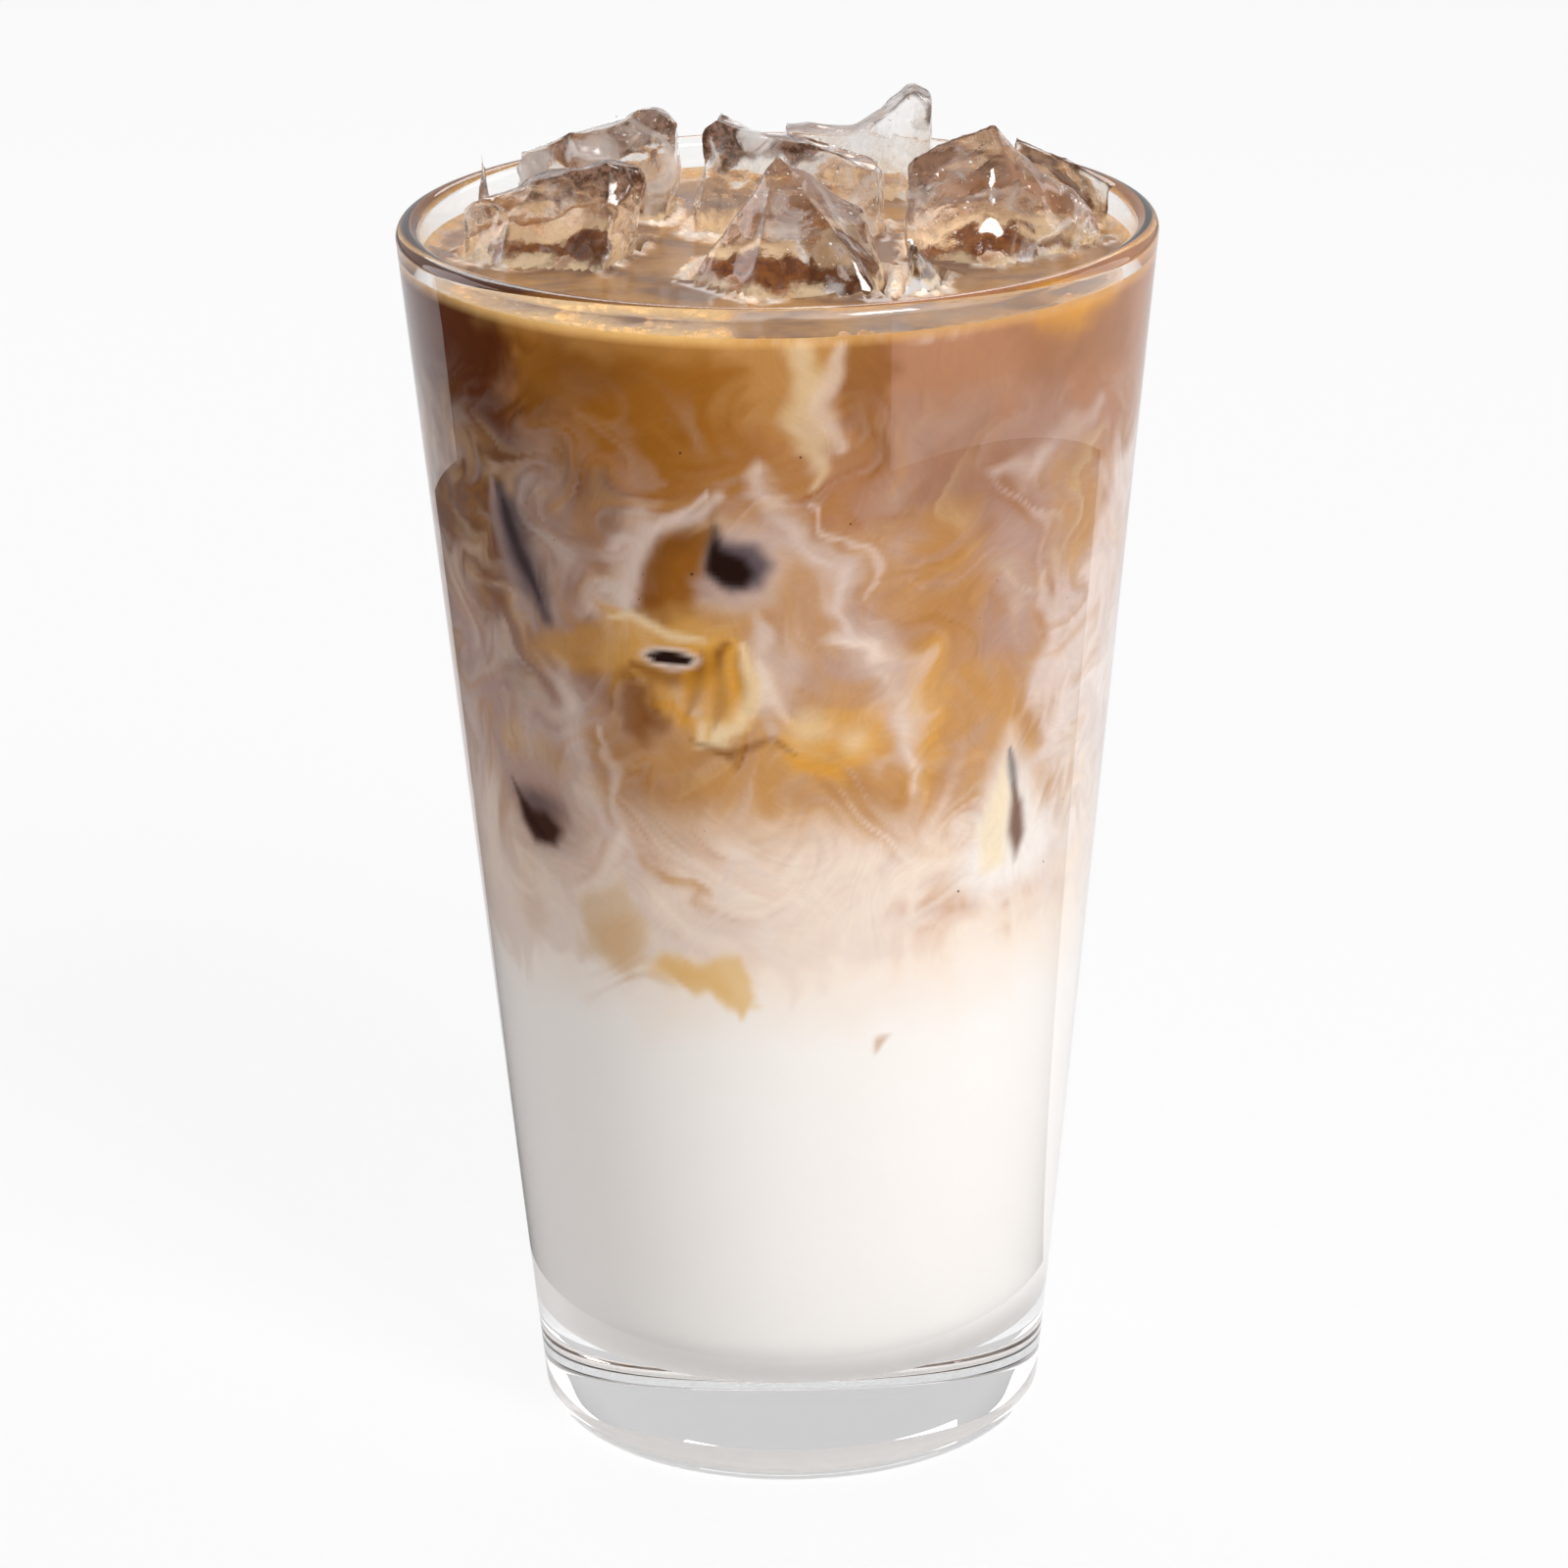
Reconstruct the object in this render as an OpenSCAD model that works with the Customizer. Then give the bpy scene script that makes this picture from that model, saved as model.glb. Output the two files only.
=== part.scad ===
// Iced latte in a tapered mixing glass: clear glass, a drink that is milk at
// the bottom, swirled in the middle and coffee on top, and cracked ice that
// stands out of it. Millimetres, +Z up, origin at the middle of the foot.

/* [Glass] */
// Height from the foot to the top of the lip
glass_h = 149.2; // [135:0.2:165]
// Outer diameter at the lip
lip_d = 88.9; // [82:0.1:96]
// Outer diameter at the foot
foot_d = 60.3; // [56:0.1:66]
// Wall thickness at the lip, which is rounded over
lip_wall = 2.8; // [2.2:0.1:3.4]
// Wall thickness where the wall meets the floor
low_wall = 3.2; // [2.4:0.1:4]
// Thickness of the solid glass floor
floor_t = 12.6; // [9:0.1:16]
// Radius of the rounded inner corner at the floor
floor_round = 8; // [5:0.5:10]
// Radius of the outer heel
heel_round = 4; // [2:0.5:5]
// Depth of the hollow under the foot
hollow_depth = 1.2; // [0.6:0.1:2.4]
// Width of the flat ring that the glass stands on
foot_ring = 3.4; // [2:0.1:5]

/* [Drink] */
// Free depth from the lip down to the drink
free_depth = 4.5; // [4.2:0.1:12]
// Depth of the coffee below the drink's surface
coffee_depth = 32.7; // [28:0.1:45]
// Height where plain milk gives way to swirled milk and coffee
milk_top = 62; // [45:1:75]

/* [Ice] */
// How deep the ice reaches below the drink's surface
ice_keel = 14; // [10:1:18]
// Share of its width that a piece keeps at the end of its keel
keel_taper = 0.72; // [0.6:0.02:0.8]
// Height factor of the ice above the drink's surface
ice_rise = 1; // [0.8:0.05:1.2]
// Thickness of the slice with the hollow top edge
crescent_thick = 7; // [5:0.5:8]
// Thickness of the slice that ends in a horn
horn_thick = 8; // [5:0.5:9]
// Height and radius of the thin spike
spike_h = 10.5; // [8:0.5:12]
spike_r = 1.5; // [1:0.1:1.8]

/* [Hidden] */
$fn = 96;

arc_steps = 8;
lip_r = lip_d / 2;
lip_round = lip_wall / 2;
foot_r = foot_d / 2;
wall_slope = (lip_r - foot_r) / (glass_h - lip_round);
level = glass_h - free_depth;
swirl_top = level - coffee_depth;
// Inner radius of the drink's surface that the ice places are drawn for
drawn_r = 41.3;
mouth_scale = inner_r(level) / drawn_r;
keel_depth = ice_keel * mouth_scale;
// Share of its radius that the spike keeps at its tip
spike_tip = 0.08;
// Edge of the cubes that mark a corner of a cracked block
corner_size = 0.05;
// Run of the slope from the hollow to the foot ring for each unit of its depth
hollow_run = 4;
ice_colour = [0.86, 0.85, 0.84, 0.6];

function outer_r(z) = foot_r + wall_slope * z;
function wall_at(z) = low_wall + (lip_wall - low_wall) * (z - floor_t) / (glass_h - floor_t);
function inner_r(z) = outer_r(z) - wall_at(z);
function arc(centre, r, from, to) = [
    for (i = [0 : arc_steps])
        let (a = from + (to - from) * i / arc_steps)
            centre + r * [cos(a), sin(a)]
];

// Inner profile from the middle of the floor up to a height, with the corner round
function inner_low() =
    let (
        lean = atan((inner_r(glass_h) - inner_r(floor_t)) / (glass_h - floor_t)),
        cz = floor_t + floor_round,
        cr = inner_r(cz) - floor_round / cos(lean)
    )
    concat([[0, floor_t]], arc([cr, cz], floor_round, -90, -lean));

module glass_profile() {
    lip_centre = [outer_r(glass_h - lip_round) - lip_round, glass_h - lip_round];
    heel_centre = [outer_r(heel_round) - heel_round, heel_round];
    ring_in = heel_centre[0] - foot_ring;
    inner = inner_low();
    polygon(concat(
        [[0, hollow_depth], [ring_in - hollow_run * hollow_depth, hollow_depth], [ring_in, 0]],
        arc(heel_centre, heel_round, -90, 0),
        arc(lip_centre, lip_round, 0, 180),
        [for (i = [len(inner) - 1 : -1 : 0]) inner[i]]
    ));
}

module glass() {
    color([0.93, 0.95, 0.96, 0.35]) rotate_extrude() glass_profile();
}

// The room inside the glass from the floor up to a height
module cavity(top) {
    rotate_extrude()
        polygon(concat(inner_low(), [[inner_r(top), top], [0, top]]));
}

// One layer of the drink between two heights
module layer(bottom, top) {
    intersection() {
        cavity(level);
        translate([0, 0, bottom]) cylinder(h = top - bottom, r = lip_r);
    }
}

module milk() {
    color([0.96, 0.94, 0.90]) layer(floor_t, milk_top);
}

module swirl() {
    color([0.80, 0.62, 0.47]) layer(milk_top, swirl_top);
}

module coffee() {
    color([0.58, 0.36, 0.18]) difference() {
        layer(swirl_top, level);
        ice_pyramid();
        ice_half_moon();
        ice_spike();
        ice_back_left();
        ice_crescent();
        ice_back_horn();
        ice_low_ridge();
        ice_fin();
        ice_right_wedge();
    }
}

function centre_of(points) =
    [for (i = [0, 1]) [for (p = points) p[i]] * [for (p = points) 1] / len(points)];
function on_drink(p, z) = [p[0] * mouth_scale, p[1] * mouth_scale, level + z];

// A cracked block. foot is its outline at the drink's surface, crest the corners
// of its top as [x, y, height above the drink], and its keel narrows downwards.
module cracked_block(foot, crest) {
    middle = centre_of(foot);
    color(ice_colour) hull() {
        corners([for (p = foot) on_drink(p, 0)]);
        corners([for (p = crest) on_drink(p, p[2] * ice_rise)]);
        corners([for (p = foot) on_drink(middle + (p - middle) * keel_taper, -keel_depth)]);
    }
}

// Tiny cubes for a hull to be drawn round
module corners(points) {
    for (p = points) translate(p) cube(corner_size, center = true);
}

// A slice with an uneven top. top is its upper edge as [along, height above the
// drink], place its middle, turn its direction seen from above.
module cracked_slice(top, thick, place, turn, lean) {
    edge = [for (p = top) [p[0] * mouth_scale, p[1] * ice_rise]];
    last = len(edge) - 1;
    color(ice_colour)
        translate(on_drink(place, 0)) rotate([0, 0, turn]) rotate([90 - lean, 0, 0])
            linear_extrude(thick * mouth_scale, center = true)
                polygon(concat(
                    edge,
                    [[edge[last][0], 0], [edge[last][0] * keel_taper, -keel_depth]],
                    [[edge[0][0] * keel_taper, -keel_depth], [edge[0][0], 0]]
                ));
}

// The tall four-sided piece in front, with a ridge that falls to the right
module ice_pyramid() {
    cracked_block(
        foot = [[-11, -12.5], [-3.5, -22], [12, -21.5], [13, -9], [4, -1], [-8, -3]],
        crest = [[0, -12, 15.4], [10.5, -6, 7]]
    );
}

// The broad half-moon on the left, with its round edge up
module ice_half_moon() {
    cracked_block(
        foot = [[-37.5, 0], [-31, -6.5], [-20, -9.5], [-15.5, 7], [-22, 10], [-33, 6]],
        crest = [
            [-37.5, 4, 5], [-33.5, 2, 7.5], [-28.5, 0, 10], [-24, -1, 11.5], [-19.5, -2, 12],
            [-15.5, -1, 10.5], [-14.5, 2, 7.5], [-20, 6, 10.5], [-28, 7, 9],
        ]
    );
}

// The thin spike that stands behind the half-moon
module ice_spike() {
    color(ice_colour) translate(on_drink([-34.5, 9.5], 0)) {
        cylinder(h = spike_h * ice_rise, r1 = spike_r, r2 = spike_r * spike_tip, $fn = 5);
        translate([0, 0, -keel_depth]) cylinder(h = keel_depth, r = spike_r, $fn = 5);
    }
}

// The big rounded piece behind the half-moon
module ice_back_left() {
    cracked_block(
        foot = [[-30, 13], [-21, 14], [-13.5, 15], [-12, 21], [-14, 30], [-24, 30], [-33, 20]],
        crest = [
            [-31, 15, 9.8], [-23.5, 14, 12.4], [-14.5, 15, 15], [-10.5, 17.5, 12], [-14, 24, 11],
            [-27, 23, 8],
        ]
    );
}

// The slice in the middle with a hollow top edge
module ice_crescent() {
    cracked_slice(
        top = [
            [-12.3, 2], [-10.5, 12.8], [-9, 14.2], [-7, 13.2], [-4, 12.2], [0, 11.6],
            [5, 10.9], [8, 9.8], [11, 8.2],
        ],
        thick = crescent_thick, place = [2, 10.5], turn = -6, lean = 4
    );
}

// The slice at the back that ends in a horn
module ice_back_horn() {
    cracked_slice(
        top = [[-9.2, 8.9], [-1, 8.6], [2.6, 10.8], [5.6, 13.5], [6.8, 13.8], [9, 12.1]],
        thick = horn_thick, place = [10, 28], turn = 0, lean = 2
    );
}

// The low amber ridge beside the pyramid
module ice_low_ridge() {
    cracked_block(
        foot = [[13.5, -21.5], [17.5, -20], [20, -13], [18.5, -10], [14.5, -9]],
        crest = [[14.5, -12, 6], [16.5, -15, 5]]
    );
}

// The big piece on the right with a fin on top
module ice_fin() {
    cracked_block(
        foot = [[14.5, -5], [24.5, -10], [32.5, -4.5], [38.5, 4], [27, 11], [15.5, 7]],
        crest = [
            [14.5, -1, 11], [18.5, 1, 12.9], [22.5, 1.5, 12.9], [25.5, 2, 14.9], [31, -1, 8.5],
            [38, 4, 3.5],
        ]
    );
}

// The wedge behind the fin, which leans towards the lip
module ice_right_wedge() {
    cracked_block(
        foot = [[28, 14], [39, 9], [35.5, 18], [25, 23]],
        crest = [[28, 14, 10.8], [35, 12.5, 8.6], [39.7, 8, 5.8]]
    );
}

glass();
milk();
swirl();
coffee();
ice_pyramid();
ice_half_moon();
ice_spike();
ice_back_left();
ice_crescent();
ice_back_horn();
ice_low_ridge();
ice_fin();
ice_right_wedge();
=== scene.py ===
import bpy
import math
import numpy as np
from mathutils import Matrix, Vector, noise
from mathutils.bvhtree import BVHTree


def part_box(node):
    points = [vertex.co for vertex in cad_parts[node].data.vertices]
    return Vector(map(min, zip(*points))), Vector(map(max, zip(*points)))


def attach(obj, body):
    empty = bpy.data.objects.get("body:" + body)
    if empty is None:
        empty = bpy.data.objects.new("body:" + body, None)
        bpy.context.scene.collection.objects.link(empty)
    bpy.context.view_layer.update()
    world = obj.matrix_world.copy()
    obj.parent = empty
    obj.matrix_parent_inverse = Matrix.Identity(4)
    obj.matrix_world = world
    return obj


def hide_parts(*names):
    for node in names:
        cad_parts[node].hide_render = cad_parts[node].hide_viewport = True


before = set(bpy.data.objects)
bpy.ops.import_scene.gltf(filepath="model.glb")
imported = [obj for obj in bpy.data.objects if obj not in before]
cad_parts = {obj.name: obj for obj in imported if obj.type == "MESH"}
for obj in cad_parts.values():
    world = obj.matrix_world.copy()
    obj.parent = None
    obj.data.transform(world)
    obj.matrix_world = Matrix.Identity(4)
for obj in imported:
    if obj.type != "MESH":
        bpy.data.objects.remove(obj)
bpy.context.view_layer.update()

# An iced latte in a mixing glass. The glass and the drink are turned profiles, the ice is
# carved out of the CAD solids, and bubbles and specks are scattered with Geometry Nodes.

noise.seed_set(7)  # the same noise each run
mm = 0.001
glassLow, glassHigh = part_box("glass")
lipRadius = min(glassHigh.x, glassHigh.y, -glassLow.x, -glassLow.y)
glassHeight = glassHigh.z
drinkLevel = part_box("coffee")[1].z
iceNodes = sorted(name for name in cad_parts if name.startswith("ice_"))


# small helpers

def linked(name, data):
    piece = bpy.data.objects.new(name, data)
    bpy.context.scene.collection.objects.link(piece)
    return piece


def meshObject(name, verts, faces, smooth=True):
    mesh = bpy.data.meshes.new(name)
    mesh.from_pydata([tuple(v) for v in verts], [], [tuple(f) for f in faces])
    mesh.validate()
    mesh.polygons.foreach_set("use_smooth", [smooth] * len(mesh.polygons))
    return linked(name, mesh)


def plainMesh(holder):
    # what the modifiers make of it; the holder goes
    ready = holder.evaluated_get(bpy.context.evaluated_depsgraph_get())
    mesh = bpy.data.meshes.new_from_object(ready)
    bpy.data.objects.remove(holder)
    return mesh


def pointsOf(piece):
    places = np.zeros(len(piece.data.vertices) * 3)
    piece.data.vertices.foreach_get("co", places)
    return places.reshape(-1, 3)


def paintPoints(piece, name, values):
    layer = piece.data.attributes.new(name, "FLOAT", "POINT")
    layer.data.foreach_set("value", np.asarray(values, np.float32))


def arcPoints(centre, radius, start, end, steps):
    turns = [math.radians(start + (end - start) * i / steps) for i in range(steps + 1)]
    return [(centre[0] + radius * math.cos(t), centre[1] + radius * math.sin(t)) for t in turns]


def straight(start, end, steps):
    # the points between two ends, without the ends
    return [(start[0] + (end[0] - start[0]) * i / steps, start[1] + (end[1] - start[1]) * i / steps)
            for i in range(1, steps)]


def turned(profile, turns):
    # profile runs along the outside first, from the axis to the axis, as (radius, height);
    # turns are the degrees of the columns, anticlockwise from the front
    rings = profile[1:-1]
    segments = len(turns)
    verts = [(0.0, 0.0, profile[0][1])]
    for radius, height in rings:
        for turn in turns:
            t = math.radians(turn)
            verts.append((radius * math.sin(t), -radius * math.cos(t), height))
    verts.append((0.0, 0.0, profile[-1][1]))
    last = len(verts) - 1
    top = 1 + (len(rings) - 1) * segments
    faces = []
    for k in range(segments):
        j = (k + 1) % segments
        faces.append((0, 1 + j, 1 + k))
        for i in range(len(rings) - 1):
            a = 1 + i * segments
            faces.append((a + k, a + j, a + segments + j, a + segments + k))
        faces.append((last, top + k, top + j))
    return verts, faces


# material helpers

def newMaterial(name):
    made = bpy.data.materials.new(name)
    made.use_nodes = True
    return made, made.node_tree, made.node_tree.nodes["Principled BSDF"]


def feed(tree, socket, value):
    # links a socket, or sets a number, vector or colour
    if isinstance(value, bpy.types.NodeSocket):
        tree.links.new(value, socket)
    else:
        socket.default_value = value


def calc(tree, operation, *values):
    made = tree.nodes.new("ShaderNodeMath")
    made.operation = operation
    for socket, value in zip(made.inputs, values):
        feed(tree, socket, value)
    return made.outputs[0]


def ease(tree, value, low, high, start=0.0, end=1.0):
    # a smooth step from start to end, as the value goes from low to high
    made = tree.nodes.new("ShaderNodeMapRange")
    made.interpolation_type = "SMOOTHSTEP"
    for socket, number in zip(made.inputs, (value, low, high, start, end)):
        feed(tree, socket, number)
    return made.outputs["Result"]


def cloud(tree, place, scale, detail, rough, drift=0.0):
    made = tree.nodes.new("ShaderNodeTexNoise")
    for name, value in (("Vector", place), ("Scale", scale), ("Detail", detail), ("Roughness", rough)):
        feed(tree, made.inputs[name], value)
    made.inputs["Distortion"].default_value = drift
    return made.outputs["Fac"]


def grainGroup():
    # fine grain as a shade that changes over the surface, shared by several finishes
    group = bpy.data.node_groups.new("fineGrain", "ShaderNodeTree")
    group.interface.new_socket("Place", in_out="INPUT", socket_type="NodeSocketVector")
    for label in ("Scale", "Detail", "Roughness", "Low", "High", "Darkest", "Lightest"):
        group.interface.new_socket(label, in_out="INPUT", socket_type="NodeSocketFloat")
    group.interface.new_socket("Shade", in_out="OUTPUT", socket_type="NodeSocketFloat")
    wish = group.nodes.new("NodeGroupInput").outputs
    noisy = cloud(group, wish["Place"], wish["Scale"], wish["Detail"], wish["Roughness"])
    shade = ease(group, noisy, wish["Low"], wish["High"], wish["Darkest"], wish["Lightest"])
    group.links.new(shade, group.nodes.new("NodeGroupOutput").inputs["Shade"])
    return group


def grain(tree, place, *values):
    made = tree.nodes.new("ShaderNodeGroup")
    made.node_tree = bpy.data.node_groups.get("fineGrain") or grainGroup()
    for socket, value in zip(made.inputs, (place, *values)):
        feed(tree, socket, value)
    return made.outputs["Shade"]


def blendColour(tree, share, under, over):
    made = tree.nodes.new("ShaderNodeMix")
    made.data_type = "RGBA"
    feed(tree, made.inputs[0], share)
    for socket, value in ((made.inputs[6], under), (made.inputs[7], over)):
        feed(tree, socket, value if isinstance(value, bpy.types.NodeSocket) else (*value, 1))
    return made.outputs[2]


def blendShader(tree, share, under, over):
    made = tree.nodes.new("ShaderNodeMixShader")
    for socket, value in zip(made.inputs, (share, under, over)):
        feed(tree, socket, value)
    return made.outputs[0]


def scaled(tree, vector, share):
    made = tree.nodes.new("ShaderNodeVectorMath")
    made.operation = "SCALE"
    tree.links.new(vector, made.inputs[0])
    tree.links.new(share, made.inputs["Scale"])
    return made.outputs[0]


def painted(tree, name, output="Fac"):
    # what is stored on the mesh's points
    made = tree.nodes.new("ShaderNodeAttribute")
    made.attribute_name = name
    return made.outputs[output]


def objectPlace(tree):
    return tree.nodes.new("ShaderNodeTexCoord").outputs["Object"]


def lightPath(tree, kind):
    return tree.nodes.new("ShaderNodeLightPath").outputs[kind]


def surfaceOf(tree, shader):
    tree.links.new(shader, tree.nodes["Material Output"].inputs["Surface"])


# camera, light and floor

studio = {
    "cameraPlace": (0.0, -0.6832, 0.3143),
    "lookAt": (0.0, 0.0, 0.0746),
    "lens": 137.9,
    "roll": -0.75,
    "shift": (-0.0006, 0.0226),
    # brightness of the room in front and behind, and where it changes
    "skyFront": 0.17,
    "skyBehind": 0.62,
    "skyEdge": (0.12, 0.75),
    "lampsAim": (0, 0, 0.08),
    # name: place, size, power, colour
    "lamps": {
        "keyLight": ((0.42, -0.62, 0.74), (0.3, 0.3), 5.5, (1.0, 0.995, 0.99)),
        "leftLight": ((-0.85, -0.45, 0.55), (0.8, 0.8), 1.1, (1.0, 0.95, 0.9)),
        "backLeftLight": ((-0.9, 0.42, 0.4), (0.5, 0.7), 2.2, (1.0, 0.98, 1.0)),
        "rightLight": ((0.85, 0.35, 0.42), (0.5, 0.7), 1.9, (0.98, 0.98, 1.0)),
        "backLight": ((-0.1, 0.85, 0.75), (0.9, 0.35), 3.0, (1.0, 1.0, 1.0)),
    },
    "floorReach": 6.0,
    "floorGlow": 0.86,
    "floorBounce": 0.4,
    # the dark card: where it starts and ends in metres, the degrees that it spans and is long
    # over, and how much longer it grows a degree outside those
    "cardStart": 0.056,
    "cardReach": 1.2,
    "cardNear": 0.3,
    "cardTurns": (-150, 120),
    "cardLongTurns": (-122, 33),
    "cardGrowth": 0.0021,
    "cardLift": 0.4 * mm,
}


def aim(thing, target, roll=0.0):
    thing.rotation_euler = (Vector(target) - thing.location).to_track_quat("-Z", "Y").to_euler()
    thing.rotation_euler.rotate_axis("Z", math.radians(roll))


def makeCamera():
    camera = linked("camera", bpy.data.cameras.new("camera"))
    camera.location = studio["cameraPlace"]
    aim(camera, studio["lookAt"], studio["roll"])
    camera.data.lens = studio["lens"]
    camera.data.sensor_width = 36
    camera.data.shift_x, camera.data.shift_y = studio["shift"]
    camera.data.clip_start = 0.01
    camera.data.clip_end = 50
    bpy.context.scene.camera = camera


def softLight(name, place, size, power, colour):
    lamp = bpy.data.lights.new(name, "AREA")
    lamp.shape = "RECTANGLE"
    lamp.size, lamp.size_y = size
    lamp.energy = power
    lamp.color = colour
    holder = linked(name, lamp)
    holder.location = place
    aim(holder, studio["lampsAim"])


def makeFloor():
    reach = studio["floorReach"]
    corners = [(x * reach, y * reach, 0) for x, y in ((-1, -1), (1, -1), (1, 1), (-1, 1))]
    floor = meshObject("floor", corners, [(0, 1, 2, 3)], smooth=False)
    paint, tree, shader = newMaterial("paleFloor")
    shader.inputs["Base Color"].default_value = (0.88, 0.88, 0.89, 1)
    shader.inputs["Roughness"].default_value = 0.9
    shader.inputs["Specular IOR Level"].default_value = 0.1
    # a white sweep that is lit from below, as on a light table
    glow = tree.nodes.new("ShaderNodeEmission")
    glow.inputs["Strength"].default_value = 1.0
    seen = calc(tree, "MAXIMUM", lightPath(tree, "Is Camera Ray"), lightPath(tree, "Is Transmission Ray"))
    share = calc(tree, "MULTIPLY_ADD", lightPath(tree, "Is Diffuse Ray"), studio["floorBounce"], seen)
    share = calc(tree, "MULTIPLY", share, studio["floorGlow"])
    surfaceOf(tree, blendShader(tree, share, shader.outputs[0], glow.outputs[0]))
    floor.data.materials.append(paint)


def makeDarkCard():
    # lies on the table in front and shows only in reflections, long on the left and in front,
    # where the room is dark, and short on the right
    firstLong, lastLong = studio["cardLongTurns"]
    turns = range(studio["cardTurns"][0], studio["cardTurns"][1] + 1)
    verts = []
    for turn in turns:
        reach = studio["cardReach"]
        if not firstLong < turn < lastLong:
            reach = studio["cardNear"] * (1 + studio["cardGrowth"] * (abs(turn) - lastLong))
        away = Vector((math.sin(math.radians(turn)), -math.cos(math.radians(turn))))
        verts += [(*(away * far), studio["cardLift"]) for far in (studio["cardStart"], reach)]
    faces = [(i, i + 1, i + 3, i + 2) for i in range(0, len(verts) - 2, 2)]
    card = meshObject("dark_card", verts, faces, smooth=False)
    paint, _, shader = newMaterial("darkCard")
    shader.inputs["Base Color"].default_value = (0.05, 0.045, 0.045, 1)
    shader.inputs["Roughness"].default_value = 0.9
    card.data.materials.append(paint)
    card.visible_camera = False
    card.visible_diffuse = False
    card.visible_shadow = False
    card.visible_transmission = False


def makeSky():
    # a pale room, brightest on the backdrop behind the glass
    world = bpy.data.worlds.new("studioSky")
    world.use_nodes = True
    tree = world.node_tree
    backdrop = tree.nodes["Background"]
    backdrop.inputs["Color"].default_value = (1, 0.99, 1, 1)
    parts = tree.nodes.new("ShaderNodeSeparateXYZ")
    tree.links.new(tree.nodes.new("ShaderNodeTexCoord").outputs["Generated"], parts.inputs[0])
    behind = ease(tree, parts.outputs["Y"], *studio["skyEdge"], studio["skyFront"], studio["skyBehind"])
    strength = calc(tree, "MAXIMUM", lightPath(tree, "Is Camera Ray"), behind)
    tree.links.new(strength, backdrop.inputs["Strength"])
    bpy.context.scene.world = world
    bpy.context.scene.view_settings.view_transform = "Standard"


makeCamera()
makeFloor()
makeDarkCard()
makeSky()
for lampName, lampSettings in studio["lamps"].items():
    softLight(lampName, *lampSettings)
print("stage is set")


# glass

glassShape = {
    "footRadius": 30.15 * mm,
    "lipWall": 2.8 * mm,
    "lowWall": 3.2 * mm,
    "floorThickness": 12.6 * mm,
    "floorRound": 8.0 * mm,
    "heelRound": 4.0 * mm,
    "hollowDepth": 1.2 * mm,
    "footRing": 3.4 * mm,
    "dishEdge": 5.0 * mm,
    "segments": 240,
}
lipRound = glassShape["lipWall"] / 2
wallSlope = (lipRadius - glassShape["footRadius"]) / (glassHeight - lipRound)


def outerRadius(z):
    return glassShape["footRadius"] + wallSlope * z


def wallAt(z):
    g = glassShape
    share = (z - g["floorThickness"]) / (glassHeight - g["floorThickness"])
    return g["lowWall"] + (g["lipWall"] - g["lowWall"]) * share


def innerRadius(z):
    return outerRadius(z) - wallAt(z)


def floorCorner(grow):
    # from the middle of the floor to the wall; grow moves it into the glass
    g = glassShape
    bottom = g["floorThickness"]
    lean = math.degrees(math.atan((innerRadius(glassHeight) - innerRadius(bottom)) / (glassHeight - bottom)))
    height = bottom + g["floorRound"]
    across = innerRadius(height) - g["floorRound"] / math.cos(math.radians(lean))
    return arcPoints((across, height), g["floorRound"] + grow, -90, -lean, 14)


def makeGlass():
    g = glassShape
    lipCentre = (outerRadius(glassHeight - lipRound) - lipRound, glassHeight - lipRound)
    heelCentre = (outerRadius(g["heelRound"]) - g["heelRound"], g["heelRound"])
    ringIn = heelCentre[0] - g["footRing"]
    heel = arcPoints(heelCentre, g["heelRound"], -90, -5, 12)
    lip = arcPoints(lipCentre, lipRound, 0, 180, 20)
    corner = floorCorner(0)[::-1]
    profile = [(r, g["hollowDepth"]) for r in (0, ringIn * 0.5, ringIn - g["dishEdge"])]
    profile += [(ringIn - g["dishEdge"] / 2, g["hollowDepth"] * 0.6), (ringIn, 0.0)] + heel
    profile += straight(heel[-1], lip[0], 24) + lip + straight(lip[-1], corner[0], 24) + corner
    profile += [(corner[-1][0] * 0.5, corner[-1][1]), (0, g["floorThickness"])]
    turns = [360 * k / g["segments"] for k in range(g["segments"])]
    verts, faces = turned(profile, turns)
    return meshObject("clear_glass", verts, faces)


glass = makeGlass()
print("glass is turned")


# drink

drinkShape = {
    "intoWall": 0.35 * mm,
    "frontTurn": 75,
    "frontColumns": 230,
    "backColumns": 150,
    "milkRings": 12,
    "marbleStart": 54 * mm,
    "marbleRings": 174,
    "topRings": 48,
    "meniscus": 0.9 * mm,
    "meniscusReach": 1.1 * mm,
    "iceMeniscus": 0.8 * mm,
    "iceMeniscusReach": 0.9 * mm,
    "pocketDepth": 6.0 * mm,
    "pocketEdge": 0.8 * mm,
    "farFromIce": 12.0 * mm,
}


def iceTrees():
    trees = []
    for name in iceNodes:
        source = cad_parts[name].data
        verts = [v.co.copy() for v in source.vertices]
        faces = [tuple(p.vertices) for p in source.polygons]
        trees.append(BVHTree.FromPolygons(verts, faces))
    return trees


def insideOf(tree, place):
    # counts the faces above the place
    hits = 0
    start = Vector(place)
    while True:
        hit = tree.ray_cast(start, Vector((0.013, 0.021, 1)).normalized())
        if hit[0] is None:
            return hits % 2 == 1
        hits += 1
        start = hit[0] + Vector((0, 0, 1e-6))


def distanceToIce(trees, x, y):
    # below zero inside a piece of ice
    place = Vector((x, y, drinkLevel - 0.01 * mm))
    far = drinkShape["farFromIce"]
    nearest = far
    for tree in trees:
        away = tree.find_nearest(place, far)[3]
        away = far if away is None else away
        if insideOf(tree, place):
            return -away
        nearest = min(nearest, away)
    return nearest


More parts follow.
